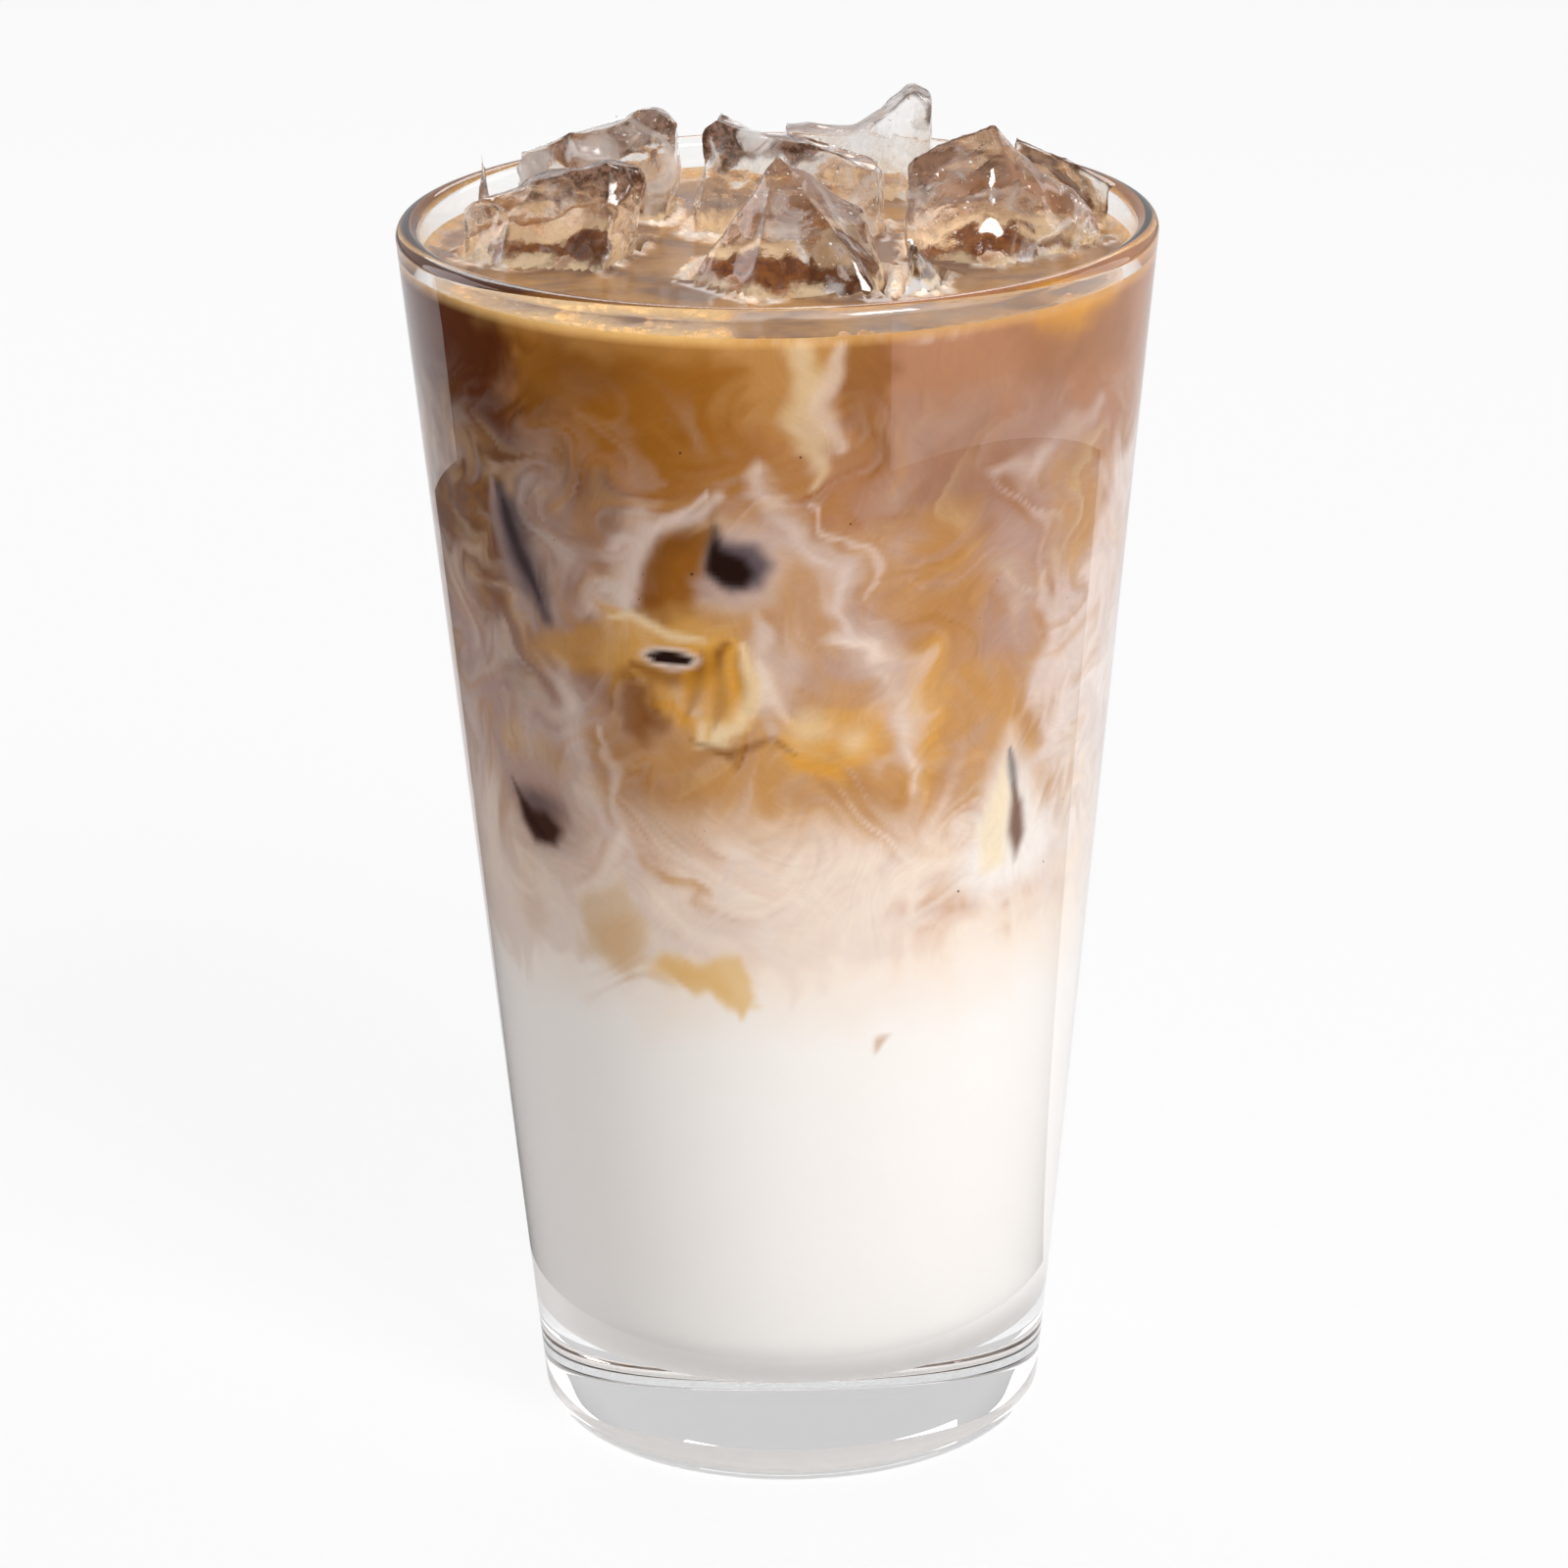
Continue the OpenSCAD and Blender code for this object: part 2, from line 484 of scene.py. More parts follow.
def makeDrink():
    d = drinkShape
    rim = innerRadius(drinkLevel) + d["intoWall"]
    low = floorCorner(d["intoWall"])
    share = (d["marbleStart"] - low[-1][1]) / (drinkLevel - low[-1][1])
    waist = (low[-1][0] + (rim - low[-1][0]) * share, d["marbleStart"])
    side = low + straight(low[-1], waist, d["milkRings"]) + [waist]
    side += straight(waist, (rim, drinkLevel), d["marbleRings"])
    rows = [(0, low[0][1])] + side + [(rim, drinkLevel + d["meniscus"])]
    radii = [rim - (rim * 0.99) * (i / d["topRings"]) for i in range(1, d["topRings"])]
    rows += [(r, drinkLevel) for r in radii] + [(0, drinkLevel)]
    turns = list(np.linspace(-d["frontTurn"], d["frontTurn"], d["frontColumns"], endpoint=False))
    turns += list(np.linspace(d["frontTurn"], 360 - d["frontTurn"], d["backColumns"], endpoint=False))
    verts, faces = turned(rows, turns)
    verts = np.array(verts)
    trees = iceTrees()
    topStart = 1 + (len(side) + 1) * len(turns)
    near = np.full(len(verts), d["farFromIce"])
    for i in range(topStart, len(verts)):
        x, y = verts[i, 0], verts[i, 1]
        away = distanceToIce(trees, x, y)
        near[i] = away
        toWall = max(innerRadius(drinkLevel) - math.hypot(x, y), 0)
        lift = d["meniscus"] * math.exp(-toWall / d["meniscusReach"])
        if away >= 0:
            lift += d["iceMeniscus"] * math.exp(-away / d["iceMeniscusReach"])
        else:
            lift -= d["pocketDepth"] * (1 - math.exp(away / d["pocketEdge"]))
        verts[i, 2] = drinkLevel + lift
    drink = meshObject("drink", verts, faces)
    paintPoints(drink, "nearIce", near / mm)
    top = [1 if min(f.vertices) >= topStart - len(turns) else 0 for f in drink.data.polygons]
    drink.data.polygons.foreach_set("material_index", top)
    return drink


drink = makeDrink()
print("drink is poured", len(drink.data.polygons))


# ice, carved from the CAD solids

iceShape = {
    "voxel": 0.45 * mm,
    "meltPasses": 4,
    "spikeMeltPasses": 1,
    "scoopSize": 7.5,
    "scoopDepth": 1.3 * mm,
    "chipSize": 3.0,
    "chipDepth": 0.35 * mm,
    "ripple": 0.18 * mm,
    "crustedTop": {"ice_half_moon": 0.24, "ice_crescent": 0.32, "ice_back_left": 0.03,
                   "ice_right_wedge": 0.08},
    # how deep the hollows are on the pieces with plainer faces
    "hollowed": {"ice_spike": 0.05, "ice_pyramid": 0.6, "ice_back_horn": 0.5, "ice_fin": 0.6,
                 "ice_right_wedge": 0.7},
    # how cloudy a piece is inside
    "frosted": {"ice_back_left": 0.5, "ice_crescent": 0.2, "ice_back_horn": 0.35, "ice_fin": 0.2,
                "ice_low_ridge": 0.3, "ice_spike": 0.45},
}


def neighbours(piece):
    ends = np.zeros(len(piece.data.edges) * 2, np.int64)
    piece.data.edges.foreach_get("vertices", ends)
    return ends.reshape(-1, 2)


def melt(places, ends, passes, keep=0.5):
    counts = np.bincount(ends.ravel(), minlength=len(places))[:, None]
    for _ in range(passes):
        total = np.zeros_like(places)
        np.add.at(total, ends[:, 0], places[ends[:, 1]])
        np.add.at(total, ends[:, 1], places[ends[:, 0]])
        places = places * (1 - keep) + total / counts * keep
    return places


def carveIce(name):
    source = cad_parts[name]
    copy = linked(name + "_cut", source.data.copy())
    weld = copy.modifiers.new("weld", "WELD")
    weld.merge_threshold = 0.001 * mm
    remesh = copy.modifiers.new("remesh", "REMESH")
    remesh.mode = "VOXEL"
    remesh.voxel_size = iceShape["voxel"]
    whole = plainMesh(copy)
    whole.materials.clear()
    piece = linked("clear_" + name, whole)
    passes = iceShape["spikeMeltPasses"] if name == "ice_spike" else iceShape["meltPasses"]
    places = melt(pointsOf(piece), neighbours(piece), passes)
    whole.vertices.foreach_set("co", places.ravel())
    whole.update()
    ends = neighbours(piece)
    normals = np.zeros(len(places) * 3)
    whole.vertices.foreach_get("normal", normals)
    normals = melt(normals.reshape(-1, 3), ends, 6)
    # broken and melted ice is all shallow hollows with ridges between them
    depth = iceShape["hollowed"].get(name, 1.0)
    for i, place in enumerate(places):
        p = Vector(place) / mm
        hollow = min(noise.voronoi(p / iceShape["scoopSize"])[0][0], 1.0)
        chip = min(noise.voronoi(p / iceShape["chipSize"])[0][0], 1.0)
        inward = iceShape["scoopDepth"] * (1 - hollow * hollow * 1.6)
        inward = inward + iceShape["chipDepth"] * (1 - chip * chip)
        places[i] -= normals[i] * max(inward + noise.noise(p / 1.6) * iceShape["ripple"], 0) * depth
    places = melt(places, ends, 1)
    whole.vertices.foreach_set("co", places.ravel())
    whole.polygons.foreach_set("use_smooth", [True] * len(whole.polygons))
    whole.update()
    # how far each point stands out of its surroundings, for the crusts on the ridges
    smooth = melt(places, ends, 14)
    ridge = ((places - smooth) * normals).sum(1) / mm
    top = places[:, 2].max()
    up = np.clip((places[:, 2] - drinkLevel) / (top - drinkLevel), 0, 1)
    ridge += iceShape["crustedTop"].get(name, 0) * np.clip((up - 0.5) / 0.35, 0, 1)
    paintPoints(piece, "ridge", ridge)
    paintPoints(piece, "frosted", np.full(len(ridge), iceShape["frosted"].get(name, 0.0)))
    return piece


ice = {iceName: carveIce(iceName) for iceName in iceNodes}
print("ice is carved", sum(len(p.data.polygons) for p in ice.values()))


# finishes

def srgb(red, green, blue):
    # a colour as a paint chart gives it, made linear
    parts = [c / 255 for c in (red, green, blue)]
    return tuple(c / 12.92 if c <= 0.04045 else ((c + 0.055) / 1.055) ** 2.4 for c in parts)


def passLight(tree, shader, tint):
    # lamps shine through without caustics, a little dimmed
    clear = tree.nodes.new("ShaderNodeBsdfTransparent")
    clear.inputs["Color"].default_value = (*tint, 1)
    surfaceOf(tree, blendShader(tree, lightPath(tree, "Is Shadow Ray"), shader, clear.outputs[0]))


def clearFinish(name, ior, roughness, tint):
    made, tree, shader = newMaterial(name)
    shader.inputs["Base Color"].default_value = (*tint, 1)
    shader.inputs["Roughness"].default_value = roughness
    shader.inputs["IOR"].default_value = ior
    shader.inputs["Transmission Weight"].default_value = 1.0
    passLight(tree, shader.outputs[0], tint)
    return made


# the drink's colours, as a paint chart gives them
latte = {
    "milk": srgb(250, 246, 243),
    "cream": srgb(247, 232, 218),
    "butter": srgb(247, 228, 188),
    "veil": srgb(232, 215, 206),
    "lilac": srgb(190, 164, 156),
    "blush": srgb(216, 178, 152),
    "tan": srgb(200, 160, 120),
    "taupe": srgb(160, 124, 106),
    "darkTaupe": srgb(124, 92, 76),
    "rose": srgb(176, 122, 84),
    "surface": srgb(150, 104, 58),
    "peach": srgb(198, 154, 114),
    "honey": srgb(208, 158, 94),
    "gold": srgb(224, 170, 88),
    "sand": srgb(222, 194, 158),
    "goldenMilk": srgb(232, 196, 138),
    "marigold": srgb(226, 160, 44),
    "caramel": srgb(190, 138, 78),
    "amber": srgb(164, 104, 34),
    "umber": srgb(134, 80, 24),
    "espresso": srgb(94, 42, 4),
    "night": srgb(36, 18, 12),
    "cocoa": srgb(66, 38, 28),
    "slate": srgb(84, 74, 84),
    "bark": srgb(84, 52, 30),
    "frost": srgb(238, 234, 232),
    "foam": srgb(236, 212, 176),
}
wallRadius = 38.0  # the unrolled wall lies this many mm from the middle
degree = math.radians(wallRadius)  # mm along the wall for each degree

# marbling: colours are laid on the unrolled wall, and slow currents fold them

marbling = {
    "seed": 7,
    "cellsAcross": 512,
    "cellsUp": 384,
    "wallLength": 360 * degree,
    "wallHeight": 180.0,
    # size of the eddies and how far they carry, in mm
    "eddies": ((24.0, 0.5), (10.0, 0.7), (4.5, 0.3)),
    "longEddies": ((34.0, 7.0), (16.0, 3.0), (8.0, 1.0)),
    "shortEddies": ((20.0, 4.5), (9.0, 1.5), (4.5, 0.4)),
    "steps": 10,
    "narrowing": 0.045,  # how much narrower the front is laid out
    # height in mm and plain colour, from the milk up to the coffee
    "heights": ((58, "milk"), (70, "cream"), (82, "blush"), (94, "honey"), (108, "tan"), (122, "rose"),
                (134, "amber"), (142, "umber")),
    "swing": 9,  # how far the currents lift those heights, in mm
    # seed, colour and strength of the folded sheets, the fine threads and the clouds
    "sheets": ((50, "veil", 0.22), (51, "lilac", 0.22), (52, "butter", 0.2), (53, "amber", 0.25)),
    "threads": ((70, "veil", 0.14), (71, "cream", 0.12), (72, "umber", 0.14)),
    "clouds": ((90, "veil", 0.42), (91, "caramel", 0.4), (92, "lilac", 0.3), (93, "honey", 0.35)),
}


def randomField(seed, size, rough):
    # smooth random heights on the unrolled wall, the same on both ends; size is in mm
    m = marbling
    draw = np.random.default_rng(m["seed"] * 100 + seed)
    grid = draw.standard_normal((m["cellsUp"], m["cellsAcross"]))
    across = np.fft.fftfreq(m["cellsAcross"], m["wallLength"] / m["cellsAcross"])
    up = np.fft.fftfreq(m["cellsUp"], m["wallHeight"] / m["cellsUp"])
    waves = np.hypot(across[None, :], up[:, None])
    grid = np.fft.ifft2(np.fft.fft2(grid) / (1 + (waves * size) ** 2) ** rough).real
    return (grid - grid.mean()) / grid.std()


def readField(grid, spot):
    # the field's value at each spot, blended between its cells
    m = marbling
    x = spot[:, 0] / m["wallLength"] * m["cellsAcross"]
    y = spot[:, 1] / m["wallHeight"] * m["cellsUp"]
    left = np.floor(x).astype(int)
    low = np.floor(y).astype(int)
    x = x - left
    y = y - low
    left, right = left % m["cellsAcross"], (left + 1) % m["cellsAcross"]
    low, high = low % m["cellsUp"], (low + 1) % m["cellsUp"]
    under = grid[low, left] * (1 - x) + grid[low, right] * x
    over = grid[high, left] * (1 - x) + grid[high, right] * x
    return under * (1 - y) + over * y


def fieldAt(seed, size, rough, spot):
    return readField(randomField(seed, size, rough), spot)


def carry(spot, eddies, seed):
    # follows the currents back from each spot
    m = marbling
    for count, (size, reach) in enumerate(eddies):
        swirl = randomField(seed + count, size, 2.2)
        cell = (m["wallHeight"] / m["cellsUp"], m["wallLength"] / m["cellsAcross"])
        toUp, toAcross = np.gradient(swirl, *cell)
        speed = math.sqrt((toUp ** 2 + toAcross ** 2).mean())
        for _ in range(m["steps"]):
            push = np.stack([readField(toUp, spot), -readField(toAcross, spot)], 1)
            spot = spot + push * (reach / speed / m["steps"])
    return spot


def soften(value, low, high):
    share = np.clip((value - low) / (high - low), 0, 1)
    return share * share * (3 - 2 * share)


class Painter:
    # lays soft patches and streams of colour over each other
    def __init__(self, spot, colour, smoke):
        self.spot = spot
        self.colour = colour
        self.smoke = smoke  # frays every edge

    def over(self, mask, colour, strength=1.0):
        share = (mask * strength)[:, None]
        self.colour = self.colour * (1 - share) + np.array(latte[colour]) * share

    def patch(self, colour, turn, height, wide, high, lean=0.0, soft=0.4, strength=1.0, fray=0.06):
        offset = self.spot - (turn * degree, height)
        c, s = math.cos(math.radians(lean)), math.sin(math.radians(lean))
        away = np.hypot((offset[:, 0] * c + offset[:, 1] * s) / (wide * degree),
                        (offset[:, 1] * c - offset[:, 0] * s) / high)
        self.over(soften(away + self.smoke * fray, 1 + soft, 1 - soft), colour, strength)

    def shape(self, colour, corners, soft=4.0, strength=1.0, fray=0.4):
        # a patch with corners; soft and fray are in mm
        spot = self.spot
        away = np.full(len(spot), 1000.0)
        inside = np.zeros(len(spot), bool)
        corners = [np.array((turn * degree, up)) for turn, up in corners]
        for start, end in zip(corners, corners[1:] + corners[:1]):
            run = end - start
            along = np.clip(((spot - start) @ run) / (run @ run), 0, 1)
            away = np.minimum(away, np.hypot(*(spot - start - along[:, None] * run).T))
            crosses = (start[1] > spot[:, 1]) != (end[1] > spot[:, 1])
            reach = start[0] + (spot[:, 1] - start[1]) * run[0] / (run[1] if run[1] else 1e-9)
            inside ^= crosses & (spot[:, 0] < reach)
        away = np.where(inside, -away, away) + self.smoke * fray
        self.over(soften(away, soft / 2, -soft / 2), colour, strength)

    def stream(self, colour, path, width, soft=0.9, strength=1.0, fray=0.07):
        # tapers to both ends
        nearest = np.full(len(self.spot), 1000.0)
        lengths = [math.hypot((b[0] - a[0]) * degree, b[1] - a[1]) for a, b in zip(path, path[1:])]
        done = 0.0
        for (turnA, upA), (turnB, upB), length in zip(path, path[1:], lengths):
            start = np.array((turnA * degree, upA))
            run = np.array((turnB * degree, upB)) - start
            along = np.clip(((self.spot - start) @ run) / (run @ run), 0, 1)
            place = (done + along * length) / sum(lengths)
            thick = 0.25 + 0.75 * np.sin(np.pi * np.clip(place, 0.04, 0.96)) ** 0.7
            away = np.hypot(*(self.spot - start - along[:, None] * run).T) / (width * thick)
            nearest = np.minimum(nearest, away)
            done += length
        self.over(soften(nearest + self.smoke * fray, (1 + soft) / 2, (1 - soft) / 2), colour, strength)


def heightColour(up):
    heights, names = zip(*marbling["heights"])
    return np.stack([np.interp(up, heights, [latte[name][i] for name in names]) for i in range(3)], 1)


def marbleDrink(drink):
    places = pointsOf(drink) / mm
    turn = np.degrees(np.arctan2(places[:, 0], -places[:, 1]))
    # the glass makes the front look wider than it is, so it is laid out a little narrower
    turn = turn * (1 - marbling["narrowing"] * soften(np.abs(turn), 150, 90))
    wall = np.stack([turn * degree, places[:, 2]], 1)
    spot = carry(wall, marbling["eddies"], 10)
    folded = carry(wall, marbling["longEddies"], 20)
    drifted = carry(wall, marbling["shortEddies"], 30)
    smoke = fieldAt(30, 11.0, 1.25, drifted)
    swing = fieldAt(31, 30.0, 1.1, carry(wall, marbling["longEddies"], 40))
    settled = soften(spot[:, 1], 60, 84)
    paint = Painter(spot, heightColour(spot[:, 1] + swing * settled * marbling["swing"]), smoke)
    paintGround(paint)
    paintFront(paint)
    # milk that folds over itself in sheets, sharp on one side, and in fine threads
    band = soften(wall[:, 1], 66, 92) * soften(wall[:, 1], 143, 122)
    for seed, colour, strength in marbling["sheets"]:
        fold = (fieldAt(seed, 30.0, 2.0, drifted + seed) * 0.9) % 1.0
        sheet = soften(fold, 0.25, 0.95) * soften(fold, 1.0, 0.95)
        where = soften(fieldAt(seed + 10, 16.0, 1.3, spot), 0.0, 1.2)
        paint.over(sheet * band * where, colour, strength)
    for seed, colour, strength in marbling["threads"]:
        ridge = np.abs(fieldAt(seed, 18.0, 2.0, folded + seed))
        where = soften(fieldAt(seed + 10, 14.0, 1.3, spot), 0.3, 1.3)
        paint.over(soften(ridge, 0.1, 0.0) * band * where, colour, strength)
    # clouds of milk and coffee between them
    for seed, colour, strength in marbling["clouds"]:
        puff = fieldAt(seed, 9.0, 1.3, drifted)
        paint.over(soften(puff, 0.2, 2.4) * band, colour, strength)
    milky = soften(wall[:, 1], 66, 76) * soften(wall[:, 1], 92, 82)
    puff = fieldAt(94, 12.0, 1.3, drifted)
    paint.over(soften(puff, -0.6, 1.4) * milky, "cream", 0.6)
    calm = Painter(carry(wall, ((18.0, 0.25),), 80), paint.colour, smoke)
    paintSunkenIce(calm)
    paintTop(drink, places, calm.colour)
    tone = drink.data.attributes.new("tone", "FLOAT_COLOR", "POINT")
    colours = np.hstack([calm.colour, np.ones((len(places), 1))])
    tone.data.foreach_set("color", colours.astype(np.float32).ravel())
    flow = drink.data.attributes.new("flow", "FLOAT_VECTOR", "POINT")
    # the flow closes round the back, as a ring about the axis
    ring = folded[:, 0] / wallRadius
    round3d = np.stack([np.sin(ring) * wallRadius, -np.cos(ring) * wallRadius, folded[:, 1]], 1)
    flow.data.foreach_set("vector", round3d.astype(np.float32).ravel())
    paintPoints(drink, "settled", settled)


def drinkSideFinish():
    # fine threads and grain that follow the currents
    made, tree, shader = newMaterial("marbledDrink")
    flow = painted(tree, "flow", "Vector")
    threads = grain(tree, flow, 0.5, 6, 0.68, 0.25, 0.75, -0.045, 0.045)
    grains = grain(tree, flow, 3.0, 3, 0.7, 0.3, 0.7, -0.025, 0.025)
    shade = calc(tree, "MULTIPLY", calc(tree, "ADD", threads, grains), painted(tree, "settled"))
    colour = scaled(tree, painted(tree, "tone", "Color"), calc(tree, "ADD", shade, 1.0))
    tree.links.new(colour, shader.inputs["Base Color"])
    shader.inputs["Roughness"].default_value = 0.55
    shader.inputs["Specular IOR Level"].default_value = 0.0
    return made


def paintGround(paint):
    # the broad regions, from the coffee at the top to the milk
    shape = paint.shape
    shape("espresso", [(-95, 150), (-40, 150), (-40, 138), (-45, 132), (-49, 126), (-57, 124),
        (-95, 126)], 5, fray=1.8)
    shape("amber", [(-44, 150), (2, 150), (0, 138), (-4, 131), (-8, 125), (-16, 124), (-24, 126),
        (-38, 131), (-43, 138)], 6, fray=1.8)
    shape("caramel", [(-4, 150), (18, 150), (17, 128), (2, 124), (-8, 131)], 5, fray=1.8)
    shape("rose", [(14, 150), (95, 150), (88, 128), (62, 124), (45, 128), (30, 122), (15, 125)], 6,
        fray=1.8)
    shape("taupe", [(-95, 130), (-57, 129), (-46, 131), (-34, 132), (-22, 128), (-18, 122), (-27, 111),
        (-40, 107), (-60, 98), (-95, 96)], 7, fray=1.8)
    shape("peach", [(-10, 130), (2, 126), (14, 124), (24, 124), (40, 120), (50, 110), (47, 96), (36, 86),
        (20, 84), (0, 82), (-20, 82), (-34, 85), (-37, 95), (-27, 105), (-24, 118)], 8, fray=1.8)
    shape("lilac", [(-95, 108), (-60, 107), (-40, 113), (-31, 104), (-35, 90), (-30, 82), (-60, 78),
        (-95, 84)], 8, fray=1.8)
    # on the right edge, past about 66 degrees, this pale veil is partly milk and partly a painted reflection
    # of the bright room behind
    shape("veil", [(95, 124), (66, 126), (53, 113), (48, 100), (50, 88), (56, 76), (95, 74)], 8, fray=1.8)
    shape("veil", [(-95, 83), (-42, 86), (-24, 80), (0, 81), (30, 83), (60, 80), (95, 82), (95, 72),
        (30, 71), (0, 70), (-40, 66), (-95, 66)], 7, 0.75, fray=2.4)
    # rosier where the coffee is thin
    shape("lilac", [(-8, 124), (2, 124), (12, 112), (16, 104), (4, 103), (-6, 108)], 8, 0.5, fray=1.8)
    shape("rose", [(28, 128), (50, 126), (50, 112), (38, 104), (30, 112)], 8, 0.5, fray=1.8)
    shape("lilac", [(30, 122), (50, 122), (50, 106), (38, 102), (32, 110)], 8, 0.5, fray=1.8)
    # the foot of the coffee thins out over the milk
    shape("caramel", [(-36, 96), (-24, 97), (0, 96), (18, 95), (24, 91), (8, 88), (-8, 89), (-30, 88)], 7,
        0.5, fray=2.0)
    shape("blush", [(-34, 87), (-18, 86), (0, 87), (20, 88), (34, 87), (34, 80), (0, 79), (-34, 79)], 7,
        0.7, fray=2.4)
    shape("cream", [(-30, 81), (-8, 82), (10, 82), (30, 84), (36, 78), (0, 72), (-30, 76)], 8, 0.7,
        fray=2.4)


def paintFront(paint):
    shape, patch, stream = paint.shape, paint.patch, paint.stream
    # left: dark coffee above a grey veil
    shape("darkTaupe", [(-60, 109), (-42, 109), (-39, 101), (-56, 99)], 6, 0.5)
    shape("umber", [(-38, 109), (-26, 109), (-24, 100), (-34, 100)], 4, 0.6)
    shape("umber", [(-37, 98), (-24, 98), (-21, 90), (-30, 86), (-37, 89)], 5, 0.5)
    shape("veil", [(-95, 98), (-65, 96), (-61, 84), (-63, 66), (-95, 64)], 9, 0.7)
    shape("umber", [(-40, 150), (-20, 150), (-22, 140), (-30, 136), (-36, 138)], 6, 0.6)
    shape("darkTaupe", [(-75, 130), (-48, 130), (-38, 127), (-42, 120), (-58, 116), (-75, 112)], 5, 0.7)
    shape("umber", [(-57, 124), (-51, 125), (-50.5, 116), (-52, 109), (-57.5, 107), (-58.5, 116)], 2.5,
        0.65)
    shape("lilac", [(-44, 126), (-36, 128), (-30, 122), (-34, 112), (-41, 109), (-43, 117)], 4, 0.45)
    patch("darkTaupe", -31, 127, 6, 3.5, lean=-25, soft=0.5, strength=0.55)
    patch("taupe", -30, 120, 4, 5, soft=0.6, strength=0.6)
    shape("lilac", [(-75, 106), (-52, 107), (-42, 108), (-36, 103), (-34, 92), (-42, 90), (-58, 98),
        (-75, 100)], 4, 0.5)
    shape("caramel", [(-45, 106), (-36, 110.5), (-27, 110), (-25, 106), (-33, 103.5), (-43, 104)], 2.5,
        0.8)
    shape("tan", [(-60, 95.5), (-50, 96.5), (-40, 94), (-38, 90), (-45, 88), (-52, 88.5), (-56, 92)], 2.5,
        0.7)
    stream("veil", [(-39, 105), (-37, 96), (-34, 88), (-31, 83)], 3.2, strength=0.7)
    stream("lilac", [(-58, 100), (-56, 92), (-52, 88.5), (-46, 88)], 1.6, strength=0.8)
    shape("espresso", [(-61, 135), (-44, 135), (-42, 128), (-50, 124.5), (-61, 125)], 4, 0.8)
    shape("darkTaupe", [(-60, 122), (-44, 120), (-42, 110), (-58, 108)], 6, 0.4)
    shape("darkTaupe", [(-56, 108), (-43, 108), (-40, 101), (-54, 99)], 5, 0.35)
    shape("umber", [(-37, 108), (-27, 107), (-25, 101), (-34, 100)], 4, 0.45)
    shape("taupe", [(-37, 122), (-26, 121), (-24, 113), (-36, 112)], 5, 0.45)
    # middle: amber among folded veils
    shape("honey", [(-50, 150), (-4, 150), (-6, 144), (-28, 142.5), (-50, 144.5)], 3.5, 0.35)
    shape("amber", [(-21, 136), (-3, 135), (-4, 126), (-12, 124.5), (-20, 125)], 5, 0.75)
    shape("umber", [(4, 134), (15, 134), (15, 126), (5, 125)], 5, 0.3)
    shape("veil", [(-30, 108), (-24, 110), (-22, 118), (-19, 126), (-26, 124), (-31, 116)], 2.6, 0.75)
    shape("umber", [(-22.5, 111.5), (-20.5, 120), (-18, 123.5), (-11, 125), (-12, 120), (-14.5, 113.5),
        (-18, 111)], 1.6, 0.9)
    shape("amber", [(-17, 112), (-15, 122), (-11, 123.5), (-12, 119), (-13.5, 114)], 1.5, 0.6)
    stream("veil", [(-21, 121), (-18, 124), (-13, 124.5), (-9.5, 126.5)], 0.9, strength=0.8)
    shape("honey", [(-22, 112), (-14, 114), (-6, 112), (-2, 115), (0, 120), (4, 122), (8, 116), (9, 108),
        (-2, 107), (-12, 109)], 3, 0.35)
    shape("lilac", [(-3, 127), (2, 126), (9, 120), (13, 113), (11, 110), (8, 115), (2, 121), (-3, 123)],
        2.4, 0.5)
    shape("gold", [(-28, 112.4), (-16, 111.6), (-9, 110), (-12, 107.6), (-22, 108.6), (-27, 110)], 1.4,
        0.75)
    shape("gold", [(-32, 108), (-20, 110), (-7, 109), (-4, 101), (-12, 97), (-20, 99), (-30, 103)], 3,
        0.75)
    shape("umber", [(-26.5, 105), (-21, 104.5), (-20.5, 98), (-23, 95.5), (-27.5, 97)], 2, 0.85)
    shape("caramel", [(-35, 97), (-24, 98), (-14, 97), (-11, 90), (-18, 84), (-30, 84.5), (-35, 90)], 4,
        0.6)
    shape("honey", [(-12, 98), (4, 97), (16, 98), (24, 92), (18, 85), (0, 83.5), (-14, 86)], 4, 0.7)
    shape("gold", [(-8, 108), (-1, 107), (1, 101), (8, 100), (16, 100), (17, 96), (10, 93), (3, 92),
        (-2, 97), (-9, 99)], 2.4, 0.8)
    stream("gold", [(2, 94.5), (8, 93), (13, 95.5), (16, 99)], 1.8, strength=0.6)
    stream("marigold", [(-22, 103), (-16, 100), (-10, 99)], 1.5, strength=0.6)
    shape("caramel", [(2, 91), (6, 96), (13, 92), (20, 92), (18, 87), (8, 85)], 3, 0.6)
    patch("butter", -12, 98.6, 2.6, 2.0, soft=0.4, strength=0.85)
    stream("umber", [(-12, 96), (-8.5, 95.2), (-6.5, 96.2)], 1.2, strength=0.8)
    patch("veil", 0, 105, 3.5, 4.5, lean=-15, soft=0.6, strength=0.5)
    patch("peach", 4, 111, 5, 4, soft=0.6, strength=0.5)
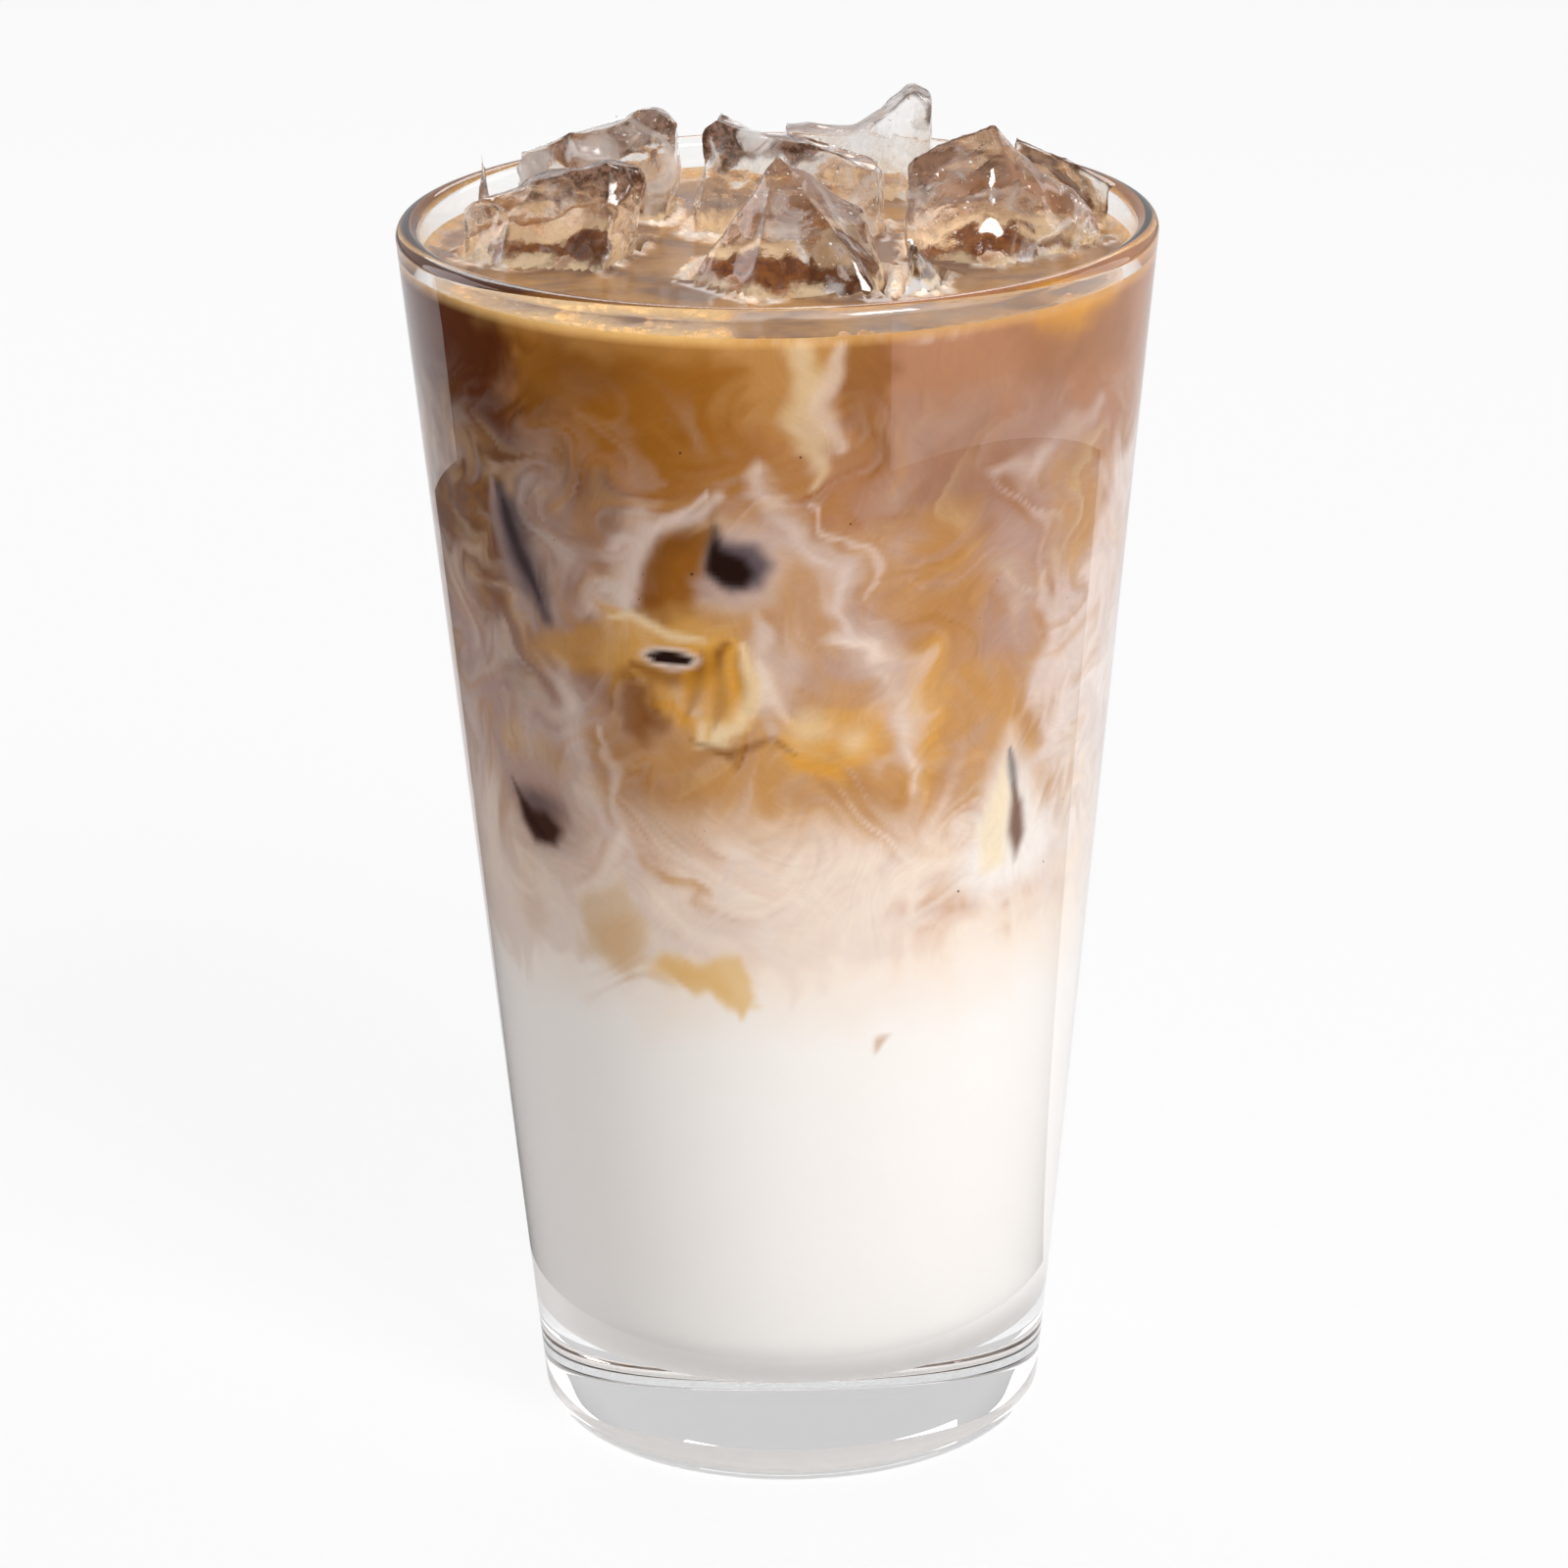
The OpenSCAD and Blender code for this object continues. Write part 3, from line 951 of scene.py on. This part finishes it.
    # right: a rosy veil over gold
    shape("rose", [(-4, 134), (16, 134), (30, 125), (8, 122)], 6, 0.6)
    shape("taupe", [(18, 137), (46, 136), (52, 127), (32, 121), (18, 123)], 7, 0.6)
    shape("umber", [(36, 144), (66, 144), (66, 136), (44, 135)], 5, 0.4)
    shape("cream", [(-2, 85), (24, 85), (30, 76), (0, 75)], 7, 0.6)
    shape("milk", [(58, 100), (95, 104), (95, 68), (56, 70)], 12, 0.5)
    shape("umber", [(8, 150), (15.5, 150), (16, 138), (14.5, 127), (11, 131), (10, 140)], 2.2, 0.6)
    shape("caramel", [(20, 124), (31, 124), (32, 112), (30, 100), (28, 90), (22, 90), (20, 98),
        (22, 110)], 4, 0.75)
    shape("gold", [(20, 106), (27, 108), (28, 98), (25, 88), (21, 91), (19, 98)], 2.6, 0.8)
    shape("honey", [(29, 104), (36, 105), (44, 100), (46, 94), (40, 92), (34, 90), (29, 94)], 4, 0.7)
    shape("tan", [(46, 126), (58, 128), (62, 118), (56, 111), (47, 113)], 4, 0.75)
    shape("honey", [(50, 119), (58, 121), (60, 115), (53, 112.5)], 2.6, 0.6)
    shape("lilac", [(36, 120), (44, 122), (48, 112), (42, 104), (37, 110)], 5, 0.5)
    stream("veil", [(36, 128), (43, 127), (50, 129), (58, 131)], 4.0, soft=1.0, strength=0.45)
    stream("veil", [(46, 112), (50, 105), (49, 98), (52, 90)], 3.0, strength=0.8)
    shape("marigold", [(34, 150), (66, 150), (62, 145.5), (50, 142), (40, 144.5)], 4.5, 0.75)
    stream("cream", [(17, 146), (24, 144.5), (33, 145.5)], 1.6, strength=0.7)
    shape("taupe", [(46, 132), (58, 132), (60, 124), (46, 124)], 6, 0.4)
    # milk that hangs in threads
    stream("butter", [(2, 147), (4, 140), (3.6, 134), (5, 128)], 2.6, soft=1.0, strength=0.5)
    stream("cream", [(9, 146), (6.8, 139), (7.4, 132)], 1.8, soft=1.0, strength=0.45)
    stream("veil", [(-4, 131), (-2.5, 127), (3, 122.5), (7.5, 118.5), (9, 113), (10, 109.5)], 3.4,
        soft=1.0, strength=0.55)
    stream("veil", [(-4, 131), (-2.5, 127), (3, 122.5), (7.5, 118.5), (9, 113), (10, 109.5)], 1.4,
        strength=0.5)
    stream("veil", [(8.5, 110), (14, 108.6), (18, 104), (19.5, 99), (21.5, 91)], 4.2, soft=1.0,
        strength=0.6)
    stream("cream", [(8.5, 109.5), (14, 108.6), (18, 104), (19.5, 99), (21.5, 91)], 1.7, strength=0.6)
    stream("veil", [(5, 126), (11.5, 120.5), (14.5, 114)], 1.0, strength=0.6)
    stream("veil", [(-4, 112), (-3, 105), (-2, 98)], 2.4, strength=0.7)
    stream("veil", [(-38, 88), (-31, 85.5), (-27, 78), (-22, 71.5), (-10, 72)], 1.9, strength=0.8)
    stream("veil", [(-14, 73), (-8, 82.5), (-3, 80)], 1.3, strength=0.6)
    stream("veil", [(-33, 97), (-30, 91), (-28, 84)], 1.4, strength=0.6)
    stream("veil", [(26, 86), (19, 80), (16, 74)], 1.6, strength=0.6)
    patch("tan", -60, 84, 3, 4, soft=0.6, strength=0.5)
    patch("tan", -54, 75, 4, 5, soft=0.8, strength=0.4)
    patch("cream", 64, 75, 7, 2.2, soft=0.7, strength=0.8)
    patch("cream", 47, 71.5, 6, 1.5, soft=0.7, strength=0.8)
    shape("tan", [(16, 59), (19, 58.2), (17.5, 57), (16.3, 57.2)], 1.0, 0.7, fray=0.1)


def paintSunkenIce(paint):
    # dark places where ice deep in the glass leans on the wall, each with a pale skin; their dark cores are
    # painted shade, the unlit drink seen through the ice
    shape, patch, stream = paint.shape, paint.patch, paint.stream
    stream("veil", [(-26, 109), (-24, 117), (-20, 122.6), (-13, 124.6), (-9.6, 127)], 2.4, soft=1.0,
        strength=0.7)
    shape("umber", [(-24, 112), (-22.6, 118), (-19, 121.6), (-12, 123.6), (-10.5, 126), (-10, 120),
        (-14.4, 113), (-18, 111)], 2.2, 0.9, fray=0.3)
    shape("amber", [(-20, 112.5), (-18, 119), (-12, 122.4), (-12, 118), (-14.5, 113)], 3.0, 0.6, fray=0.3)
    shape("honey", [(-23, 112.5), (-14, 114), (-4, 113), (-6, 110), (-16, 110)], 2.4, 0.5, fray=0.3)
    shape("veil", [(-12.6, 114), (-11.6, 119), (-9.6, 123.6), (-3, 123.4), (0.4, 119.5), (-1.4, 115.6),
        (-7, 113.6)], 3.4, 0.45, fray=0.5)
    shape("lilac", [(-12, 115), (-11, 119), (-8, 122.6), (-3, 121.8), (-0.8, 119), (-2.6, 116),
        (-8, 114.8)], 2.6, 0.75, fray=0.4)
    # painted shade: the slate and near-black core of the large window
    shape("slate", [(-10.6, 123.4), (-9, 121.4), (-4.4, 121.4), (-1.6, 119), (-3.4, 116.2), (-8, 115.6),
        (-11.6, 117.2)], 2.0, 0.9, fray=0.1)
    shape("night", [(-10.8, 123.2), (-9.4, 120.4), (-5.6, 119.6), (-4.4, 117.8), (-6, 116.1),
        (-9.4, 116.2), (-12, 117.8)], 1.5, 1.0, fray=0.1)
    shape("gold", [(-28, 112), (-20, 111.6), (-8, 110.6), (-5, 107), (-8, 103), (-14, 105), (-22, 104),
        (-27, 107)], 2.4, 0.7, fray=0.6)
    shape("honey", [(-46, 106), (-38, 107.6), (-27, 110), (-25, 106), (-36, 104)], 2.6, 0.6, fray=0.5)
    stream("butter", [(-28, 111), (-24, 111.8), (-18, 109.8), (-12, 109.4)], 1.2, soft=0.9, strength=0.7)
    stream("umber", [(-25, 105.6), (-18, 104.6), (-12, 106.4), (-8.6, 109)], 2.2, soft=1.0, strength=0.75)
    for turn, drop, lean in ((-14.4, 98.6, -2.4), (-11.4, 97.4, -0.8), (-8.2, 99.4, 1.2)):
        stream("marigold", [(turn, 108.6), (turn + lean * 0.6, drop + 4), (turn + lean, drop)], 1.7,
            soft=1.0, strength=0.5)
        stream("umber", [(turn + 1.5, 108), (turn + 1.4 + lean * 0.6, drop + 4),
            (turn + 1 + lean, drop + 1.5)], 1.4, soft=1.0, strength=0.38)
    stream("butter", [(-6, 109), (-4.6, 104), (-7, 99.6), (-11, 97.4)], 1.9, soft=1.0, strength=0.75)
    stream("cream", [(-3.6, 107), (-1.4, 102), (0.6, 99.6)], 1.5, soft=1.0, strength=0.6)
    stream("umber", [(-15, 97), (-9, 95.6), (-2, 97.6), (2, 95.8)], 1.1, soft=1.0, strength=0.6)
    shape("gold", [(-2, 100), (6, 101.6), (16, 101), (18, 96), (11, 92.6), (5, 93.6), (0, 96)], 3, 0.6,
        fray=0.8)
    stream("marigold", [(1, 95.4), (6, 93.2), (12, 95.2), (16, 98.6)], 1.6, soft=1.0, strength=0.35)
    patch("butter", 4, 99, 3.4, 2.0, lean=20, soft=0.8, strength=0.5)
    patch("butter", 12, 97, 2.4, 1.5, lean=-30, soft=0.9, strength=0.5)
    shape("umber", [(-27, 104), (-21.5, 104), (-20.5, 99), (-23, 95.5), (-28, 97)], 2.4, 0.7, fray=0.6)
    # gold that has sunk into the milk
    shape("sand", [(-38, 75), (-30, 77.4), (-26.6, 74), (-26.4, 69), (-30, 66), (-39, 68)], 2.6, 0.75,
        fray=0.5)
    shape("honey", [(-36, 71), (-30, 73), (-28, 69), (-32, 66.6)], 3.6, 0.4, fray=0.5)
    shape("goldenMilk", [(-27, 67.6), (-22, 69.8), (-14, 69.6), (-8.6, 70.2), (-7, 66.6), (-4.6, 64),
        (-9, 62), (-14, 64.4), (-20, 66)], 1.6, 0.9, fray=0.4)
    shape("gold", [(-23, 68.6), (-14, 68.8), (-10, 66), (-9, 63.6), (-14, 65.6), (-20, 66.8)], 2.6, 0.45,
        fray=0.4)
    # painted shade: the dark core of a thin slit, inside a pale skin
    patch("veil", -18.4, 107.1, 4.9, 1.35, soft=0.25, strength=0.9, fray=0.03)
    patch("night", -18.4, 107.1, 4.0, 0.8, soft=0.2, fray=0.02)
    # painted shade: a dark streak where a piece of ice leans on the wall
    stream("lilac", [(-50.6, 125), (-49.6, 119), (-44.5, 108)], 2.2, soft=0.8, strength=0.85, fray=0.1)
    stream("slate", [(-48.8, 124.6), (-46, 118), (-41.4, 109.5)], 4.4, soft=0.9, strength=0.85, fray=0.1)
    stream("night", [(-48.2, 123), (-46, 118), (-42.4, 111.5)], 1.5, soft=1.0, strength=0.6, fray=0.1)
    # a pale-edged drop whose dark core is painted shade
    patch("lilac", -48.5, 85.5, 9, 5.8, soft=0.5, strength=0.8, fray=0.1)
    patch("taupe", -48.5, 84.5, 7.4, 3.8, soft=0.5, strength=0.7, fray=0.1)
    patch("slate", -48.6, 85.2, 5.6, 2.0, soft=0.6, strength=0.7, fray=0.1)
    shape("cocoa", [(-54, 86.4), (-50, 84.6), (-46, 84.8), (-42.6, 83), (-44.6, 80.6), (-50, 80.1),
        (-53.4, 82.4)], 1.8, 1.0, fray=0.1)
    stream("night", [(-55, 87), (-51.5, 83.4), (-47, 80.8)], 1.3, soft=1.0, strength=0.6)
    shape("milk", [(41.6, 95), (30, 78), (39, 74), (52, 75), (56, 79), (47, 88)], 5, 0.85, fray=0.2)
    shape("butter", [(40.6, 92), (35.5, 83), (37, 78), (42.5, 78.4), (42.6, 86)], 2.6, 0.65, fray=0.1)
    # painted shade: the dark edge of the window on the right
    stream("slate", [(41.6, 93), (42.6, 89), (43.8, 86)], 1.3, strength=0.75, fray=0.05)
    shape("darkTaupe", [(42.6, 88), (45.6, 85.4), (47, 81.4), (45.2, 78), (42.9, 82)], 1.6, 0.95,
        fray=0.05)


def paintTop(drink, places, colours):
    # coffee with milk drawn through it, and foam round the ice and along the wall
    near = np.zeros(len(places))
    drink.data.attributes["nearIce"].data.foreach_get("value", near)
    rim = innerRadius(drinkLevel) / mm
    foam = np.zeros(len(places))
    onTop = places[:, 2] > drinkLevel / mm - 0.01
    for i in np.nonzero((near < drinkShape["farFromIce"] / mm - 0.01) | onTop)[0]:
        p = Vector(places[i])
        stretched = Vector((p.x, p.y * 1.6, 3.0)) / 9
        drift = noise.fractal(stretched + noise.noise_vector(p / 14) * 0.7, 1.0, 2.0, 5)
        fine = noise.fractal(p / 2.2, 0.9, 2.0, 3)
        colour = Vector(latte["surface"]).lerp(Vector(latte["caramel"]), min(max(0.35 + drift, 0), 1))
        colour = colour.lerp(Vector(latte["darkTaupe"]), min(max(-drift * 1.4 - 0.1, 0), 0.6))
        toWall = rim - math.hypot(p.x, p.y)
        wallFoam = min(max(1.5 - toWall * 0.7 + drift * 1.2, 0), 1)
        iceFoam = min(max(1.1 - max(near[i], 0) * 0.75 + drift * 1.3 + fine * 0.5, 0), 1)
        foam[i] = max(wallFoam, iceFoam)
        warm = Vector(latte["honey"]).lerp(Vector(latte["cream"]), min(max(iceFoam * 0.9 + fine * 0.4, 0), 1))
        # a raft of foam lies against the wall at the front, left of the middle
        frontLeft = float(soften(-p.y, 14, 30) * soften(-p.x, 3, 7))
        raft = min(max(1.7 - toWall * 0.2 + drift * 0.6, 0), 1) * frontLeft
        foam[i] = max(foam[i], raft)
        warm = warm.lerp(Vector(latte["goldenMilk"]).lerp(Vector(latte["gold"]), 0.5), raft * 0.85)
        if p.x > 0:
            warm = warm.lerp(Vector(latte["caramel"]), min(p.x / 25, 0.6) * wallFoam)
        colour = colour.lerp(warm, foam[i])
        colour = colour.lerp(Vector(latte["umber"]), min(max(-near[i] * 0.9 - 0.3, 0), 1) * 0.8)
        colours[i] = colour
    paintPoints(drink, "foam", foam)
    toWall = rim - np.hypot(places[:, 0], places[:, 1])
    paintPoints(drink, "froth", foam ** 2 * soften(toWall, 0.8, 1.2) * (near > 0.3))


def drinkTopFinish():
    made, tree, shader = newMaterial("wetLatte")
    place = objectPlace(tree)
    foam = painted(tree, "foam")
    shade = grain(tree, place, 900, 5, 0.65, 0.3, 0.7, 0.9, 1.06)
    tree.links.new(scaled(tree, painted(tree, "tone", "Color"), shade), shader.inputs["Base Color"])
    tree.links.new(ease(tree, foam, 0.0, 1.0, 0.16, 0.5), shader.inputs["Roughness"])
    pores = tree.nodes.new("ShaderNodeTexVoronoi")
    pores.inputs["Scale"].default_value = 1600
    tree.links.new(place, pores.inputs["Vector"])
    bump = tree.nodes.new("ShaderNodeBump")
    bump.inputs["Distance"].default_value = 0.12 * mm
    tree.links.new(calc(tree, "MULTIPLY", pores.outputs["Distance"], foam), bump.inputs["Height"])
    tree.links.new(bump.outputs[0], shader.inputs["Normal"])
    return made


iceLook = {
    "clear": (0.98, 0.97, 0.965),
    "milky": (0.9, 0.83, 0.74),
    "stained": (0.7, 0.5, 0.34),
    "shade": (0.93, 0.88, 0.84),
    "ior": 1.31,
    "coatRoughness": 0.04,
    "crustRoughness": 0.22,
    "bump": 0.5 * mm,
    "bumpStrength": 0.4,
}


def iceFinish():
    # clear ice with coffee in its pits, crusts on its ridges and frost inside
    made, tree, shader = newMaterial("wetIce")
    nodes, links = tree.nodes, tree.links
    place = objectPlace(tree)
    parts = nodes.new("ShaderNodeSeparateXYZ")
    links.new(place, parts.inputs[0])
    aboveDrink = calc(tree, "MULTIPLY_ADD", parts.outputs["Z"], 1000.0, -drinkLevel * 1000)
    stain = cloud(tree, place, 150, 5, 0.6, drift=1.0)
    stain = calc(tree, "SUBTRACT", stain, calc(tree, "MULTIPLY", aboveDrink, 0.018))
    tint = blendColour(tree, ease(tree, stain, 0.28, 0.52), iceLook["clear"], iceLook["milky"])
    tint = blendColour(tree, ease(tree, stain, 0.5, 0.66), tint, iceLook["stained"])
    links.new(tint, shader.inputs["Base Color"])
    shader.inputs["IOR"].default_value = iceLook["ior"]
    shader.inputs["Transmission Weight"].default_value = 1.0
    grit = cloud(tree, place, 900, 4, 0.7)
    wear = cloud(tree, place, 260, 4, 0.6)
    links.new(ease(tree, wear, 0.5, 0.75, 0.01, 0.22), shader.inputs["Roughness"])
    shader.inputs["Coat Weight"].default_value = 1.0
    shader.inputs["Coat Roughness"].default_value = iceLook["coatRoughness"]
    bump = nodes.new("ShaderNodeBump")
    bump.inputs["Distance"].default_value = iceLook["bump"]
    bump.inputs["Strength"].default_value = iceLook["bumpStrength"]
    links.new(calc(tree, "MULTIPLY_ADD", grit, 0.2, wear), bump.inputs["Height"])
    links.new(bump.outputs[0], shader.inputs["Normal"])
    # the crust is rough and holds dark coffee, frost lies in the ice and foam hangs at its foot
    crust = nodes.new("ShaderNodeBsdfPrincipled")
    crustColour = blendColour(tree, ease(tree, grit, 0.42, 0.6), latte["bark"], latte["taupe"])
    low = calc(tree, "MULTIPLY_ADD", wear, -6.0, aboveDrink)
    crustColour = blendColour(tree, ease(tree, low, -0.6, -2.0), crustColour, latte["foam"])
    sunk = blendColour(tree, ease(tree, grit, 0.4, 0.6), latte["espresso"], latte["umber"])
    crustColour = blendColour(tree, ease(tree, low, -3.4, -4.6), crustColour, sunk)
    haze = cloud(tree, place, 85, 5, 0.6, drift=1.5)
    cloudy = calc(tree, "MULTIPLY_ADD", painted(tree, "frosted"), 0.2, haze)
    frost = ease(tree, cloudy, 0.54, 0.72, 0.0, 0.5)
    crustColour = blendColour(tree, ease(tree, frost, 0.05, 0.3), crustColour, latte["frost"])
    links.new(crustColour, crust.inputs["Base Color"])
    crust.inputs["Roughness"].default_value = iceLook["crustRoughness"]
    links.new(bump.outputs[0], crust.inputs["Normal"])
    ridge = calc(tree, "MULTIPLY", painted(tree, "ridge"), 1.6)
    patchy = calc(tree, "ADD", ridge, cloud(tree, place, 120, 5, 0.65))
    crustShare = ease(tree, patchy, 0.64, 0.92, 0.0, 0.85)
    foot = ease(tree, low, -1.4, -3.0, 0.0, 0.9)
    crustShare = calc(tree, "MAXIMUM", calc(tree, "MAXIMUM", crustShare, foot), frost)
    passLight(tree, blendShader(tree, crustShare, shader.outputs[0], crust.outputs[0]), iceLook["shade"])
    return made


glass.data.materials.append(clearFinish("clearGlass", 1.5, 0.0, (0.985, 0.99, 0.99)))
iceMaterial = iceFinish()
for piece in ice.values():
    piece.data.materials.append(iceMaterial)
marbleDrink(drink)
drink.data.materials.append(drinkSideFinish())
drink.data.materials.append(drinkTopFinish())
print("finishes are mixed")


# bubbles and specks

scattered = {
    # mask: where they lie; density: for each square metre; radius: smallest and largest
    "foam_bubbles": {"mask": "froth", "density": 1.3e6, "radius": (0.1 * mm, 0.8 * mm),
                     "sunk": 0.0, "seed": 3, "detail": 2},
    "coffee_specks": {"mask": "specks", "density": 3.0e3, "radius": (0.07 * mm, 0.17 * mm),
                      "sunk": 0.02 * mm, "seed": 5, "detail": 1},
    "frozen_air": {"mask": "cold", "density": 5.5e5, "radius": (0.05 * mm, 0.24 * mm),
                   "sunk": 0.5 * mm, "seed": 8, "detail": 1},
}


def scatterTree(name, mask, finish, detail):
    # balls on a surface, thick where the mask is high
    tree = bpy.data.node_groups.new(name, "GeometryNodeTree")
    make = tree.nodes.new
    face = tree.interface
    face.new_socket("Surface", in_out="INPUT", socket_type="NodeSocketGeometry")
    for label in ("Density", "Smallest", "Largest", "Sunk"):
        face.new_socket(label, in_out="INPUT", socket_type="NodeSocketFloat")
    face.new_socket("Seed", in_out="INPUT", socket_type="NodeSocketInt")
    face.new_socket("Balls", in_out="OUTPUT", socket_type="NodeSocketGeometry")
    start, end = make("NodeGroupInput"), make("NodeGroupOutput")
    wish = start.outputs

    def step(kind, **sockets):
        made = make(kind)
        for label, value in sockets.items():
            feed(tree, made.inputs[label], value)
        return made

    wanted = step("GeometryNodeInputNamedAttribute", Name=mask)
    thick = calc(tree, "MULTIPLY", wanted.outputs["Attribute"], wish["Density"])
    points = step("GeometryNodeDistributePointsOnFaces", Mesh=wish["Surface"], Density=thick,
                  Seed=wish["Seed"])
    inward = scaled(tree, points.outputs["Normal"], calc(tree, "MULTIPLY", wish["Sunk"], -1))
    sunk = step("GeometryNodeSetPosition", Geometry=points.outputs["Points"], Offset=inward)
    luck = make("FunctionNodeRandomValue")
    luck.data_type = "FLOAT"
    tree.links.new(wish["Seed"], luck.inputs["Seed"])
    size = make("ShaderNodeMapRange")
    tree.links.new(calc(tree, "POWER", luck.outputs[1], 3.5), size.inputs["Value"])  # few are large
    tree.links.new(wish["Smallest"], size.inputs["To Min"])
    tree.links.new(wish["Largest"], size.inputs["To Max"])
    ball = step("GeometryNodeMeshIcoSphere", Radius=1, Subdivisions=detail)
    balls = step("GeometryNodeInstanceOnPoints", Points=sunk.outputs[0], Instance=ball.outputs["Mesh"],
                 Scale=size.outputs["Result"])
    real = step("GeometryNodeRealizeInstances", Geometry=balls.outputs[0])
    smooth = step("GeometryNodeSetShadeSmooth", Geometry=real.outputs[0])
    coat = step("GeometryNodeSetMaterial", Geometry=smooth.outputs[0], Material=finish)
    tree.links.new(coat.outputs[0], end.inputs["Balls"])
    return tree


def scatter(name, surface, finish):
    wish = scattered[name]
    tree = scatterTree(name + "_tree", wish["mask"], finish, wish["detail"])
    holder = linked(name + "_holder", surface)
    nodesOn = holder.modifiers.new("scatter", "NODES")
    nodesOn.node_group = tree
    values = {"Density": wish["density"], "Smallest": wish["radius"][0], "Largest": wish["radius"][1],
              "Sunk": wish["sunk"], "Seed": wish["seed"]}
    for item in tree.interface.items_tree:
        if item.in_out == "INPUT" and item.name in values:
            nodesOn[item.identifier] = values[item.name]
    mesh = plainMesh(holder)
    print(name, len(mesh.polygons))
    return linked(name, mesh)


def plainSpeck(name, dark, pale, roughness):
    made, tree, shader = newMaterial(name)
    shade = grain(tree, objectPlace(tree), 2500, 2, 0.55, 0.3, 0.7, 0, 1)
    tree.links.new(blendColour(tree, shade, latte[dark], latte[pale]), shader.inputs["Base Color"])
    shader.inputs["Roughness"].default_value = roughness
    return made


def joinedIce():
    # all the ice above the drink as one surface for the frozen air, without the crisp edges
    places, faces, start = [], [], 0
    for piece in ice.values():
        places.append(pointsOf(piece))
        faces += [tuple(start + i for i in f.vertices) for f in piece.data.polygons]
        start += len(piece.data.vertices)
    places = np.vstack(places)
    whole = bpy.data.meshes.new("joined_ice")
    whole.from_pydata(places.tolist(), [], faces)
    layer = whole.attributes.new("cold", "FLOAT", "POINT")
    cold = [max(noise.noise(Vector(p) * 130 + Vector((5, 1, 9))) * 2.2 + 0.1, 0) for p in places]
    layer.data.foreach_set("value", np.clip(cold, 0, 1) * (places[:, 2] > drinkLevel))
    return whole


drinkMesh = drink.data
height = pointsOf(drink)[:, 2] / mm
paintPoints(drink, "specks", soften(height, 66, 84) * (height < drinkLevel / mm - 1))
bubbles = scatter("foam_bubbles", drinkMesh, clearFinish("bubbleSkin", 1.2, 0.0, (1.0, 0.97, 0.93)))
specks = scatter("coffee_specks", drinkMesh, plainSpeck("groundCoffee", "night", "espresso", 0.7))
frozenAir = scatter("frozen_air", joinedIce(), plainSpeck("paleAir", "frost", "milk", 0.3))


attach(glass, "root")
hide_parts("glass")
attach(drink, "root")
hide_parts("milk", "swirl", "coffee")
for name, piece in ice.items():
    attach(piece, "root")
    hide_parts(name)

for piece, slot in ((bubbles, "coffee"), (specks, "coffee"), (frozenAir, "ice")):
    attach(piece, "root")
